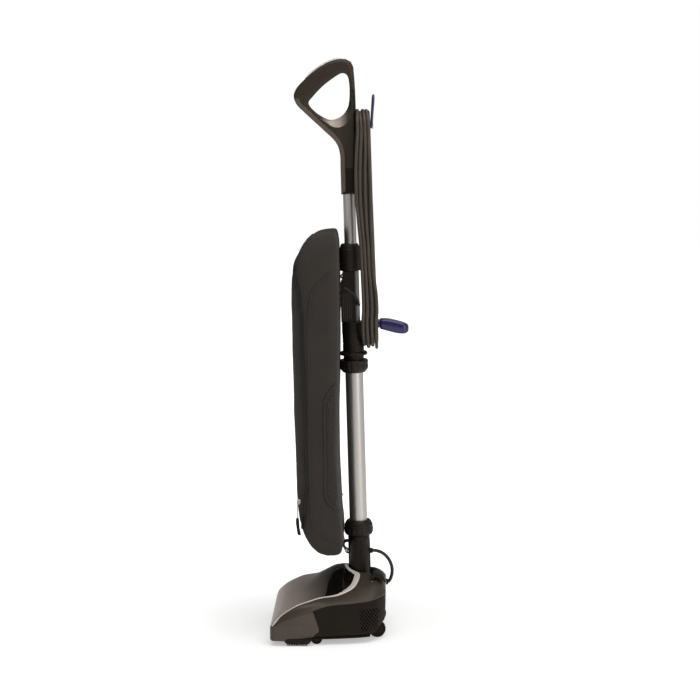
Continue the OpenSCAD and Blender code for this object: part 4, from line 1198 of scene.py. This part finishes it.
turned_part("low_knob", [(19.1, 134.2), (26.9, 134.2, 1), (29.0, 136.5, 1.5), (30.7, 141, 2),
                         (30.9, 149, 2), (30.0, 152, 1), (30.0, 153.5, 1), (30.5, 155, 1.5),
                         (27.6, 161.5, 3), (24.8, 165.6, 1.5), (22.5, 166, 0.8), (19.1, 166)],
            "low_collar", "collar", ["low_collar"], "black_plastic", 180,
            lobes(16, 1.1, 136, 151, 8))
turned_part("mid_knob", [(19.1, 485.2), (23.6, 485.2, 1), (28.8, 491.5, 2), (30.2, 495, 1.5),
                         (30.2, 501, 1), (29.4, 502, 0.5), (29.4, 503.2, 0.5), (30.3, 504.2, 1),
                         (30.3, 509.5, 1.5), (28.8, 511.8, 1), (19.1, 511.8)],
            "mid_nut", "collar", ["mid_nut"], "black_plastic", 180, lobes(14, 1.1, 486, 511, 8))
turned_part("socket", [(19.1, 512.2), (21.5, 512.2, 0.5), (21.5, 521, 1), (28.2, 522.2, 1.5),
                       (29.6, 525.2, 1.5), (28.2, 528.6, 1.5), (22.4, 530, 1), (22.4, 545, 0.5),
                       (21.8, 546, 0.3), (21.8, 547, 0.3), (22.5, 548, 0.5), (22.5, 566, 0.5),
                       (23.2, 567, 0.5), (23.2, 590, 1), (22.0, 592.9, 1.5), (16, 592.9),
                       (16, 560), (19.1, 560)],
            "handle", "black", ["lower_dock"], "black_plastic", sharp=35)


def knurl(r, z, a):
    if r < 20 or not 718 <= z <= 746:
        return r
    end = min(1, (z - 718) / 1.5, (746 - z) / 1.5)
    return r - 0.55 * end * (0.5 + 0.5 * math.cos(a * 46))


turned_part("upper_knob", [(15.95, 701.2), (21.2, 701.2, 0.8), (22, 703.5, 0.8), (22, 706.5, 0.5),
                           (21.2, 707.4, 0.3), (21.2, 708.6, 0.3), (22, 709.4, 0.5),
                           (22, 713, 0.5), (21.3, 714, 0.3), (21.3, 716, 0.3), (22.1, 717, 0.3),
                           (22.1, 730), (22.1, 746.5, 1), (21.0, 748.2, 0.6), (20.2, 752, 1),
                           (17.6, 757.6, 1.2), (15, 757.9), (15, 712), (15.95, 711)],
            "handle", "collar", ["upper_collar"], "black_plastic", 184, knurl, (0, -2, 0))

# Neck: a smooth round body on a cross barrel that turns between the yokes
neck_tube = lathe(rounded([(16.1, -6), (22.2, -6, 0.6), (22.2, 60), (22.5, 62), (22.5, 122),
                           (23.1, 123.5, 0.4), (23.1, 131, 0.6), (22.3, 133.9, 0.6),
                           (19.1, 133.9), (19.1, 104), (16.1, 103)]), 96)
barrel = moved(lathe(rounded([(8.1, -24, 0.3), (25.5, -24, 1.5), (27, -21.5, 1), (27, -9, 0.6),
                              (26.2, -8, 0.4), (26.2, 8, 0.4), (27, 9, 0.6), (27, 21.5, 1),
                              (25.5, 24, 1.5), (8.1, 24, 0.3)]), 96), ALONG_X)
rails = [prism(rounded([(x - 1.1, -23.2, 0.4), (x + 1.1, -23.2, 0.4), (x + 1.1, -20),
                        (x - 1.1, -20)]),
               30, 122, "z") for x in (-5.2, 5.2)]
rails += [moved(r, Matrix.Rotation(math.radians(a), 4, "Z")) for r in rails
          for a in (90, 180, 270)]
piece("neck_body", *merge(neck_tube, barrel, *rails), "handle", "black", ["neck"],
      "black_plastic", LEANT, sharp=35)
catch = prism(rounded([(-22, 94, 0.5), (-25.5, 94.6, 2), (-26.2, 104, 1), (-30.2, 107, 3),
                       (-31, 113, 2), (-28.6, 116.6, 2), (-22.6, 117.4, 1), (-22, 122.6, 1),
                       (-29.4, 122.4, 4), (-35.4, 117.6, 4), (-35.8, 109, 4), (-32.6, 103.6, 1),
                       (-30.6, 96, 3), (-27, 93, 2), (-22, 92.4, 0.5)]), -4.6, 4.6)
piece("catch_hook", *catch, "handle", "black", ["bag_catch"], "black_plastic", LEANT, bevel=0.9)
ball = lathe([(max(4.3 * math.sin(a), 0.01), 4.3 * math.cos(a))
              for a in np.linspace(0, math.pi, 17)],
             28, closed=False)
studs = merge(*[moved(ball, Matrix.Translation((x, -27.4, 99.8))) for x in (-4.4, 4.4)])
piece("catch_ball", *studs, "handle", "chrome", slot="zip_metal", place=LEANT)

# Sleeve with its bright strip, and the dock that the bag pushes onto
piece("dock_sleeve", *lathe(rounded([(12.75, 560.4), (15.85, 560.4, 0.4), (15.85, 710, 0.4),
                                     (12.75, 710)]), 72), "handle", "sleeve", ["joiner_sleeve"],
      "tube_aluminium", LEANT)
shell = prism(rounded([(-23.5, 593.4, 1.5), (7, 593.4, 1.2), (7, 700.5, 1), (-18.5, 700.5, 1.5),
                       (-18.5, 686, 1), (-23.5, 676, 2)]), -18.6, 18.6)
strap = prism(rounded([(-17, 667, 1), (-13, 669.5, 1), (7, 655, 3), (14, 641, 3), (17.6, 628, 1.2),
                       (14.6, 626.6, 1), (10.6, 638, 3), (4, 649.5, 3)]), -19.4, 19.4)
spout = moved(lathe(rounded([(13.6, 19), (16.2, 19, 0.5), (16.2, 30, 0.4), (15.4, 31, 0.4),
                             (15.4, 33, 0.4), (16.4, 34, 0.4), (16.4, 50.5, 1),
                             (13.6, 51.5, 0.5)]),
                    72), Matrix.Translation((0, 0, 640)) @ Matrix.Rotation(math.pi / 2, 4, "X"))
ribs = [prism(rounded([(y, 600, 0.5), (y + 1.6, 600, 0.5), (y + 1.6, 655, 0.5), (y, 655, 0.5)]),
              18.4, 19.2) for y in (-19, -15, -11, -7, -3)]
ribs += [mirrored(r) for r in ribs]
tooth = prism(rounded([(-17.5, 682.5, 0.4), (-25.2, 689, 1), (-17.5, 696.5, 0.4),
                       (-17.5, 692.6, 0.4), (-21.4, 689.4, 0.6), (-17.5, 686.2, 0.4)]), -8, 8)
piece("dock_shell", *shell, "handle", "black", ["bag_dock"], "black_plastic", LEANT, bevel=1.4)
piece("dock_fittings", *merge(strap, spout, tooth, *ribs), "handle", "gloss",
      slot="black_plastic", place=LEANT, bevel=0.35, segments=2)

# ---------------------------------------------------------------- cord hooks


def paddle():
    """Upper hook's paddle: a long rounded blade with a dished front and a thick tip."""
    rows = []
    for z, wide, back, front_y in ((-6.6, 3, 53.2, 54.6), (-6.2, 9, 51.6, 55.6),
                                   (-5, 14, 50.8, 56.2), (-3, 17.4, 50.6, 56.4),
                                   (0, 18.8, 50.6, 56.5), (10, 18, 50.7, 56.8),
                                   (22, 16.2, 50.9, 57.2), (34, 14.6, 51.2, 57.9),
                                   (46, 13.4, 51.6, 58.6), (54, 12.4, 52.0, 58.9),
                                   (59, 10.6, 52.4, 58.8), (62.4, 7.4, 53.2, 58.3),
                                   (64, 3, 54.6, 57.4)):
        ring = []
        for k in range(28):
            a = TAU * k / 28
            c, s = math.cos(a), math.sin(a)
            u = math.copysign(abs(c) ** 0.75, c)
            w = math.copysign(abs(s) ** 0.6, s)
            mid, half = (back + front_y) / 2, (front_y - back) / 2
            dish = 0.8 * (1 - u * u) if s < 0 and -12 < z < 56 else 0
            ring.append(Vector((wide * u, mid + half * w + dish * 0.6 - 2.6 + z * 0.05, z)))
        rows.append(ring)
    return rings_solid(rows)


drum = moved(lathe(rounded([(4.1, 20.7), (15.4, 20.7, 1), (17.4, 23, 2), (16.2, 27, 6),
                            (16.2, 44, 6),
                            (17.6, 48.6, 1), (4.1, 48.6)]), 72), ALONG_Y)
piece("upper_hook_blade", *merge(paddle(), drum), "upper_hook", "violet", ["upper_hook"],
      "violet_plastic", LEANT @ shift(0, 0, 1004 * MM), sharp=50)
screw_head = lathe(rounded([(0.01, 0), (7.8, 0), (7.8, 1.6, 0.5), (6.2, 2.7, 0.8), (1.4, 2.8),
                            (1.1, 1.2), (0.01, 1.2)]), 48, closed=False)
piece("hook_bolt", *moved(screw_head, Matrix.Translation((0, 51.8, 1004)) @ ALONG_Y), "handle",
      "steel", ["hook_screws"], "steel", LEANT)


def tongue():
    """Lower hook: a drooping tongue behind a post, rounded all round, hollow on top."""
    top = interp([(57.5, 597.4), (64, 598.8), (74, 598.5), (89, 595), (106, 590), (115, 585),
                  (118.5, 578)])
    low = interp([(57.5, 576.2), (74, 571), (92, 566), (108, 564.5), (116, 568), (118.5, 575)])
    rows = []
    for y in [57.5, 58.2, 60, 64, 70, 78, 86, 94, 101, 107, 111.5, 114.6, 116.6, 117.7]:
        wide = 15.8 * (1 if y < 106 else max(1 - ((y - 106) / 12.4) ** 2, 0.02) ** 0.5)
        wide *= 0.86 if y < 58 else (0.95 if y < 60 else 1)
        zt, zl = top(y), low(y)
        mid, half = (zt + zl) / 2, (zt - zl) / 2 * (0.8 if y < 58 else 1)
        ring = []
        for k in range(32):
            a = TAU * k / 32
            c, s = math.cos(a), math.sin(a)
            u = math.copysign(abs(c) ** 0.5, c)
            w = math.copysign(abs(s) ** 0.62, s)
            dish = -1.6 * (1 - u * u) if s > 0 and 62 < y < 112 else 0
            ring.append(Vector((wide * u, y, mid + half * w + dish)))
        rows.append(ring)
    return rings_solid(rows)


post = moved(lathe(rounded([(3.6, 25.4), (11, 25.4, 0.8), (11, 28, 0.8), (9, 30, 1.5), (9, 59)] +
                           [(3.6, 59)]), 60), Matrix.Translation((0, 0, 587)) @ ALONG_Y)
piece("lower_hook_tongue", *merge(tongue(), post), "lower_hook", "violet", ["lower_hook"],
      "violet_plastic", LEANT, sharp=50)
mounts = [prism(rounded([(19.3, 986, 0.4), (20.3, 986, 0.4), (20.3, 1031, 0.4),
                         (18.4, 1031, 0.8)]),
                -12.8, 12.8),
          prism(rounded([(19.3, 968.4, 2), (37.4, 968.4, 2), (37.4, 983.6, 2), (19.3, 984, 1)]),
                -8.6, 8.6),
          prism(rounded([(20.5, 575.4, 1.2), (24.9, 575.4, 1.2), (24.9, 592.6, 1.2),
                         (20.5, 592.6, 1)]), -11.8, 11.8)]
piece("hook_brackets", *merge(*mounts), "handle", "black", ["hook_mounts"], "black_plastic",
      LEANT, bevel=0.4, segments=2)

# Pedal behind the neck, and the glands of the lead
pedal = prism(rounded([(64.4, 125, 1), (66, 132, 3), (71, 137, 4), (79, 138.4, 6), (88, 134, 6),
                       (95, 127, 4), (98, 119, 1.2), (96, 117, 1.2), (90, 123, 4), (78, 129, 5),
                       (70, 127, 3), (68, 124, 1)], steps=6), 30.4, 60.6)
grips = []
for k, (y, z) in enumerate(((77, 138.1), (80.5, 137.7), (84, 136.2), (87.5, 134.0), (91, 131.0))):
    bar = lathe([(0.6, -12), (0.6, 12)], 10, closed=False)
    grips.append(moved(bar, Matrix.Translation((45.5, y, z)) @ ALONG_X))
arms = [moved(lathe(rounded([(2.6, 0), (5.4, 0, 0.6), (5.4, 4, 0.6), (2.6, 4)]), 40),
              Matrix.Translation((x, 68, 119)) @ ALONG_X) for x in (31, 56)]
arms += [prism(rounded([(64.6, 119, 0.5), (71.4, 119, 0.5), (71.4, 128.5), (64.6, 128.5)]), x,
               x + 4)
         for x in (31, 56)]
piece("foot_pedal", *merge(pedal, *grips, *arms), "pedal", "black", ["release_pedal"],
      "black_plastic", bevel=0.7)


def gland_ribs(r, z, a):
    return r - (0.5 if (z * 10) % 22 < 8 and r > 4.5 else 0)


piece("neck_boot", *lathe([(3.7, 0), (6.4, 0), (6.4, 1.2), (5.6, 2), (5.0, 6.5), (3.7, 6.5)], 40,
                          gland_ribs), "handle", "rubber", ["neck_gland"], "black_rubber",
      LEANT @ shift(0, 22.6 * MM, 97 * MM) @ ALONG_Y)
piece("head_boot", *lathe([(3.7, 0), (7.1, 0), (7.1, 1.2), (6.2, 2), (5.0, 5.5), (3.7, 5.5)], 40,
                          gland_ribs), "head", "rubber", ["head_gland"], "black_rubber",
      shift(-41 * MM, 97.1 * MM, 94 * MM) @ ALONG_Y)

# ---------------------------------------------------------------- bag

BAG_SIDE = [(-27, 786), (-42, 788), (-67, 782), (-84, 772), (-98, 758), (-110, 738), (-117, 715),
            (-121, 690), (-123.5, 640), (-125, 540), (-125.5, 400), (-125, 260), (-122.5, 207),
            (-117.5, 173), (-104, 138), (-84, 112), (-62, 100), (-43, 101.5), (-34, 112),
            (-33, 150), (-36.5, 210), (-37.5, 330), (-34, 430), (-29, 560), (-26, 700)]
BAG_HALF = 108
SLACK = 4.5
EMBOSS = [(-40, 709), (-46.8, 702), (-66, 687), (-79.8, 668), (-87, 636), (-90, 591), (-93, 480),
          (-96.3, 339), (-96.2, 240), (-95.5, 194), (-91, 173), (-82, 162), (-71.6, 155),
          (-58, 147.5), (-47.9, 142), (-40, 139)]
D_PANEL = [(-36, 474), (-45, 464), (-53, 455), (-58.5, 444), (-61.8, 423), (-62.8, 380),
           (-63.3, 338), (-64.5, 290), (-65.5, 243), (-62, 228), (-55.7, 219), (-45, 211),
           (-36, 205)]


def evaluated(obj):
    bpy.context.view_layer.update()
    graph = bpy.context.evaluated_depsgraph_get()
    return bpy.data.meshes.new_from_object(obj.evaluated_get(graph))


def helper_solid(name, part):
    """A helper object in the handle's own frame, in metres."""
    mesh = bpy.data.meshes.new(name)
    mesh.from_pydata([tuple(c * MM for c in v) for v in part[0]], [], part[1])
    bm = bmesh.new()
    bm.from_mesh(mesh)
    bmesh.ops.recalc_face_normals(bm, faces=bm.faces)
    bm.to_mesh(mesh)
    bm.free()
    obj = bpy.data.objects.new(name, mesh)
    bpy.context.scene.collection.objects.link(obj)
    return obj


def empty_bag(voxel):
    """The bag before it fills: its side, front and plan outlines, remeshed and relaxed."""
    half = BAG_HALF - SLACK
    side = helper_solid("bag_side", prism([tuple(p) for p in curve(BAG_SIDE, 4, True)], -150, 150))
    front = helper_solid("bag_front", prism(rounded([(-half, 99, 58), (half, 99, 58),
                                                     (half, 788, 58),
                                              (-half, 788, 58)], steps=12), -200, 50, "y"))
    plan_form = helper_solid("bag_plan", prism(rounded([(-half, -125.5, 38), (half, -125.5, 38),
                                                 (half, -22, 34), (-half, -22, 34)], steps=10),
                                        50, 850, "z"))
    for other in (front, plan_form):
        cut = side.modifiers.new("cut", "BOOLEAN")
        cut.operation, cut.object, cut.solver = "INTERSECT", other, "EXACT"
    remesh = side.modifiers.new("remesh", "REMESH")
    remesh.mode, remesh.voxel_size = "VOXEL", voxel * MM
    relax = side.modifiers.new("relax", "SMOOTH")
    relax.factor, relax.iterations = 0.5, 4
    mesh = evaluated(side)
    for other in (side, front, plan_form):
        bpy.data.objects.remove(other)
    obj = bpy.data.objects.new("bag_start", mesh)
    bpy.context.scene.collection.objects.link(obj)
    return obj


def fill_bag(obj, cap):
    """Blow the bag up with Blender's cloth. Its sides belly out; its depth hardly changes."""
    start = np.array([v.co for v in obj.data.vertices])
    cloth = obj.modifiers.new("cloth", "CLOTH")
    cloth.settings.quality = 4
    cloth.settings.mass = 0.3
    cloth.settings.use_pressure = True
    cloth.settings.uniform_pressure_force = 4
    cloth.settings.effector_weights.gravity = 0
    cloth.point_cache.frame_start, cloth.point_cache.frame_end = 1, 20
    for f in range(1, 21):
        bpy.context.scene.frame_set(f)
    blown = evaluated(obj)
    move = np.array([v.co for v in blown.vertices]) - start
    obj.modifiers.clear()
    bpy.context.scene.frame_set(1)
    size = np.linalg.norm(move, axis=1, keepdims=True)
    move *= np.minimum(1, cap * MM / np.maximum(size, 1e-9))
    move[:, 1:] *= 0.2
    for v, p in zip(obj.data.vertices, start + move):
        v.co = p
    obj.modifiers.new("smooth", "SUBSURF").levels = 1
    mesh = evaluated(obj)
    bpy.data.objects.remove(obj)
    return mesh


def in_outline(point, outline):
    """Whether one point lies inside a closed outline."""
    y, z = point
    hit = False
    for (y0, z0), (y1, z1) in zip(outline, outline[1:] + outline[:1]):
        if (z0 > z) != (z1 > z) and y < (y1 - y0) * (z - z0) / (z1 - z0) + y0:
            hit = not hit
    return hit


full = fill_bag(empty_bag(6.0), 7.5)
D_AREA = [tuple(p) for p in curve(D_PANEL, 4)] + [(-10, 205), (-10, 474)]
BAG_POINTS = []
for v in full.vertices:
    p = v.co / MM
    crumple = noise.noise(Vector((p.x * 0.018, p.y * 0.03, p.z * 0.011)))
    crease = abs(noise.noise(Vector((p.x * 0.03 + 7, p.y * 0.05, p.z * 0.03)))) - 0.25
    low = max(0, 1 - (p.z - 99) / 120) + max(0, 1 - (788 - p.z) / 160)
    p += v.normal * (0.9 * crumple + 1.1 * crease * (0.4 + low) - 0.3)
    if abs(p.x) > 60 and in_outline((p.y, p.z), D_AREA):
        p -= v.normal * 0.8
    p.y = min(p.y, -24.4)
    BAG_POINTS.append(p)
BAG_FACES = [tuple(f.vertices) for f in full.polygons]
bag_tree = BVHTree.FromPolygons(BAG_POINTS, BAG_FACES)
BACK = LEANT.inverted()


def bag_material(centre):
    p = BACK @ centre / MM
    return int(abs(p.x) > 60 and in_outline((p.y, p.z), D_AREA))


bag = piece("dust_bag", BAG_POINTS, BAG_FACES, "handle", "bag", ["outer_bag"], "bag_fabric",
            LEANT, mats=("mesh",), pick=bag_material, sharp=60)


def laid(path, aim):
    """Where a path meets the bag, with the surface's own frame at each point."""
    hits = []
    for p in path:
        place, normal, _, _ = bag_tree.ray_cast(Vector(p), Vector(aim))
        if place is not None:
            hits.append((place, normal if normal.dot(Vector(aim)) < 0 else -normal))
    out = []
    for i, (p, normal) in enumerate(hits):
        along = (hits[min(i + 1, len(hits) - 1)][0] - hits[max(i - 1, 0)][0]).normalized()
        around = sum((hits[j][1] for j in range(max(i - 3, 0), min(i + 4, len(hits)))), Vector())
        across = along.cross(around).normalized()
        out.append((p, along, across, across.cross(along).normalized()))
    return out


BEAD = [(-1, -0.9), (-0.97, 0.2), (-0.82, 0.72), (-0.45, 1), (0.45, 1), (0.82, 0.72), (0.97, 0.2),
        (1, -0.9)]


def bead(spots, half, height, offset=0.0):
    return rings_solid([[p + across * (half * u + offset) + up * height * v for u, v in BEAD]
                        for p, _, across, up in spots])


def stitches(spots, pitch, offset, long, wide, high):
    """A row of small blocks along a laid path, such as teeth or stitches."""
    out, run = [], 0.0
    for (p, along, across, up), (q, *_) in zip(spots, spots[1:]):
        run += (q - p).length
        if run >= pitch:
            run -= pitch
            side = 1 if len(out) % 2 else -1
            c = p + across * (offset * side if offset < 2 else offset)
            out.append(([tuple(c + along * long * i + across * wide * j + up * high * k)
                         for i in (-0.5, 0.5) for j in (-0.5, 0.5) for k in (0.0, 1.0)],
                        [(0, 1, 3, 2), (4, 6, 7, 5), (0, 4, 5, 1), (2, 3, 7, 6), (0, 2, 6, 4),
                         (1, 5, 7, 3)]))
    return out


seams, threads = [], []
for s in (-1, 1):
    lines = [laid([(s * 220, y, z) for y, z in curve(line, 12)], (-s, 0, 0))
             for line in (EMBOSS, D_PANEL)]
    inner = [(y + 6.5, 338 + (z - 338) * 0.955) for y, z in D_PANEL[2:-2]]
    lines.append(laid([(s * 220, y, z) for y, z in curve(inner, 12)], (-s, 0, 0)))
    seams += [bead(lines[0], 2.3, 1.9), bead(lines[1], 2.6, 2.0), bead(lines[2], 1.0, 1.1)]
    threads += stitches(lines[1], 3.0, 3.4, 1.9, 0.5, 0.55)
piece("bag_seams", *merge(*seams), "handle", "bag", slot="bag_fabric", place=LEANT, sharp=50)
piece("bag_stitches", *merge(*threads), "handle", "tape", slot="zip_tape", place=LEANT)

# Zip round the front panel, with its slider and pull
arc_points = [(47 + 46 * math.cos(a), 726 + 46 * math.sin(a))
              for a in np.linspace(0, math.pi / 2, 40)]
half_path = [(93.5, z) for z in np.arange(168, 726, 1.4)]
half_path += arc_points
zip_path = half_path + [(x, 772) for x in np.arange(45, -45, -1.4)] + \
    [(-x, z) for x, z in reversed(half_path)]
zip_spots = laid([(x, -300, z) for x, z in zip_path], (0, 1, 0))
piece("zip_tapes", *merge(bead(zip_spots, 5.6, 0.8), bead(zip_spots, 0.8, 1.5, 4.7),
                          bead(zip_spots, 0.8, 1.5, -4.7)),
      "handle", "tape", ["zipper"], "zip_tape", LEANT, sharp=50)
piece("zip_teeth", *merge(*stitches(zip_spots, 2.8, 0.8, 1.5, 2.8, 1.7)), "handle", "gloss",
      slot="zip_tape", place=LEANT)

SLIDER = LEANT @ shift(95 * MM, -119.5 * MM, 222 * MM) @ Matrix.Rotation(math.radians(50), 4, "Z")
slider_body = prism(rounded([(-2.2, 0, 0.8), (2.2, 0, 0.8), (4.1, 4, 2), (4.1, 9.5, 2),
                             (2.6, 12, 1),
                             (0, 11, 1), (-2.6, 12, 1), (-4.1, 9.5, 2), (-4.1, 4, 2)]),
                    -4.3, -1.4, "y")
bridge = tube(curve([(0, -4.0, 1.2), (0, -6.6, 1.6), (0, -7.5, 3.6), (0, -6.9, 6), (0, -4.0, 8.4)],
                    8), 0.75, 12)
piece("zip_runner", *merge(slider_body, bridge), "zip_slider", "chrome", ["zipper_slider"],
      "zip_metal", SLIDER, bevel=0.5)
eye = tube([(2.6 * math.cos(a), -6.7 - 1.0 * math.cos(a), 3.2 + 2.6 * math.sin(a))
            for a in np.linspace(0, TAU, 41)], 0.75, 10)
arm = prism(rounded([(-1.9, -32, 0.8), (1.9, -32, 0.8), (1.3, -4, 0.6), (1.9, 0.8, 0.6),
                     (-1.9, 0.8, 0.6), (-1.3, -4, 0.6)]), -8.3, -6.8, "y")
tab_rows = []
for p, wide, thick in ((-28, 2.6, 1.5), (-30, 3.4, 1.9), (-34, 3.9, 2.1), (-40, 4.0, 2.1),
                       (-47, 3.6, 2.0), (-54, 3.7, 2.0), (-60, 4.0, 2.1), (-64, 3.8, 2.0),
                       (-65.5, 3.0, 1.5)):
    mid = -8.4 + 4.2 * (max(0, -43 - p) / 22) ** 1.15
    tab_rows.append([Vector((wide * math.copysign(abs(math.cos(a)) ** 0.6, math.cos(a)),
                             mid + thick * math.copysign(abs(math.sin(a)) ** 0.6, math.sin(a)), p))
                     for a in np.linspace(0, TAU, 25)[:-1]])
piece("zip_puller", *merge(eye, arm), "zip_pull", "chrome", ["zipper_pull"], "zip_metal", SLIDER,
      bevel=0.3)
piece("zip_tab", *rings_solid(tab_rows), "zip_pull", "rubber", slot="zip_tape", place=SLIDER)

# Ring and loop at the bag's foot, and the collar where the dock's spout goes in
loop = prism(rounded([(-31.5, 162, 1), (-31.0, 142, 1), (-31.8, 135.0, 1.2), (-34.6, 134, 1),
                      (-35.4, 141, 1), (-36, 161, 1)]), -5.5, 5.5)
ring = tube([(6.4 * math.cos(a), -33.0 - 1.4 * math.sin(a), 129.0 + 7.4 * math.sin(a))
             for a in np.linspace(0, TAU, 49)], 1.25, 12)
piece("bag_loop", *loop, "handle", "tape", slot="zip_tape", place=LEANT, bevel=0.6)
piece("bag_ring", *ring, "handle", "chrome", slot="zip_metal", place=LEANT)
inlet = moved(lathe(rounded([(16.5, 24.8), (21.5, 24.8, 0.8), (22.5, 27, 1), (20.5, 30, 1),
                             (20, 34, 0.8), (16.5, 34, 0.5)]), 72),
              Matrix.Translation((0, 0, 640)) @ Matrix.Rotation(math.pi / 2, 4, "X"))
piece("bag_inlet", *inlet, "handle", "rubber", slot="black_rubber", place=LEANT)


def paper_rows():
    """Filter bag: flat front and back with a fold down each side, puckered as paper is."""
    front_y = interp([(110, -80), (150, -92), (200, -101), (400, -109), (640, -106), (700, -100),
                      (745, -84), (768, -66)])
    back_y = interp([(110, -50), (150, -49), (330, -52), (560, -46), (700, -44), (768, -50)])
    rows = []
    for z in np.arange(118, 769, 6.5):
        f, b = front_y(z), back_y(z)
        end = min(1, (z - 112) / 60, (778 - z) / 50) ** 0.5
        w = 84 * (0.62 + 0.38 * end)
        mid = (f + b) / 2
        ring = []
        for x, y in rounded([(-w, b, 9), (w, b, 9), (w - 3, mid + 7, 2), (w - 19, mid, 1.5),
                             (w - 3, mid - 7, 2), (w, f, 9), (-w, f, 9), (3 - w, mid - 7, 2),
                             (19 - w, mid, 1.5), (3 - w, mid + 7, 2)], steps=3):
            k = noise.noise(Vector((x * 0.05, y * 0.05 + 9, z * 0.035)))
            ring.append((x * (1 + 0.012 * k), y + 1.4 * k * (1 if y < mid else -1), z))
        rows.append(ring)
    return rings_solid(rows)


paper = piece("filter_bag", *paper_rows(), "handle", "paper", ["paper_bag"], "bag_paper", LEANT,
              sharp=30)

# ---------------------------------------------------------------- stage and light

world = bpy.data.worlds.new("studio")
world.use_nodes = True
sky = world.node_tree
away = sky.nodes.new("ShaderNodeTexCoord")
split = sky.nodes.new("ShaderNodeSeparateXYZ")
bright = sky.nodes.new("ShaderNodeMapRange")
for key, value in (("From Min", -1.0), ("From Max", 1.0), ("To Min", 0.08), ("To Max", 0.42)):
    bright.inputs[key].default_value = value
seen = sky.nodes.new("ShaderNodeLightPath")
pick_sky = sky.nodes.new("ShaderNodeMix")
pick_sky.inputs[3].default_value = 1.0
sky.links.new(away.outputs["Generated"], split.inputs["Vector"])
sky.links.new(split.outputs["Y"], bright.inputs["Value"])
sky.links.new(bright.outputs["Result"], pick_sky.inputs[2])
sky.links.new(seen.outputs["Is Camera Ray"], pick_sky.inputs[0])
sky.links.new(pick_sky.outputs[0], sky.nodes["Background"].inputs["Strength"])
sky.nodes["Background"].inputs["Color"].default_value = (1, 1, 1, 1)
bpy.context.scene.world = world
bpy.context.scene.view_settings.view_transform = "Standard"

floor_mesh = bpy.data.meshes.new("floor")
floor_mesh.from_pydata([(-8, -8, 0), (8, -8, 0), (8, 8, 0), (-8, 8, 0)], [], [(0, 1, 2, 3)])
floor = bpy.data.objects.new("floor", floor_mesh)
bpy.context.scene.collection.objects.link(floor)
ground = Nodes("floor_white")
ground.link(ground.ramp(ground.noise(3, 2), [(0.3, (0.9, 0.9, 0.895)),
                                             (0.7, (0.93, 0.93, 0.925))]),
            ground.shader.inputs["Base Color"])
x, y, z = ground.axes()
far = ground.math("POWER", ground.math("ADD", ground.math("MULTIPLY", x, x),
                                       ground.math("MULTIPLY", y, y)), 0.5)
looked_at = ground.add("ShaderNodeLightPath").outputs["Is Camera Ray"]
direct = ground.range(far, 0.25, 1.1, 0.42, 1.0)
ground.link(ground.math("ADD", ground.math("MULTIPLY", looked_at, direct),
                        ground.math("MULTIPLY", ground.math("SUBTRACT", 1.0, looked_at), 0.3)),
            ground.shader.inputs["Emission Strength"])
ground.set(Roughness=0.8, Emission_Color=(1, 1, 1, 1))
floor_mesh.materials.append(ground.mat)


def softbox(name, place, aim, size, power):
    data = bpy.data.lights.new(name, "AREA")
    data.shape, data.size, data.size_y, data.energy = "RECTANGLE", size[0], size[1], power
    lamp = bpy.data.objects.new(name, data)
    lamp.location = place
    lamp.rotation_euler = (Vector(aim) - Vector(place)).to_track_quat("-Z", "Y").to_euler()
    bpy.context.scene.collection.objects.link(lamp)
    return lamp


softbox("key_top", (0.8, 0.2, 3.4), (0, 0, 0.3), (3.0, 3.0), 62)
softbox("right_side", (2.6, 2.6, 1.3), (0, 0, 0.6), (1.4, 2.6), 24)
softbox("front_fill", (2.4, -2.6, 1.6), (0, 0, 0.5), (1.0, 1.8), 5)
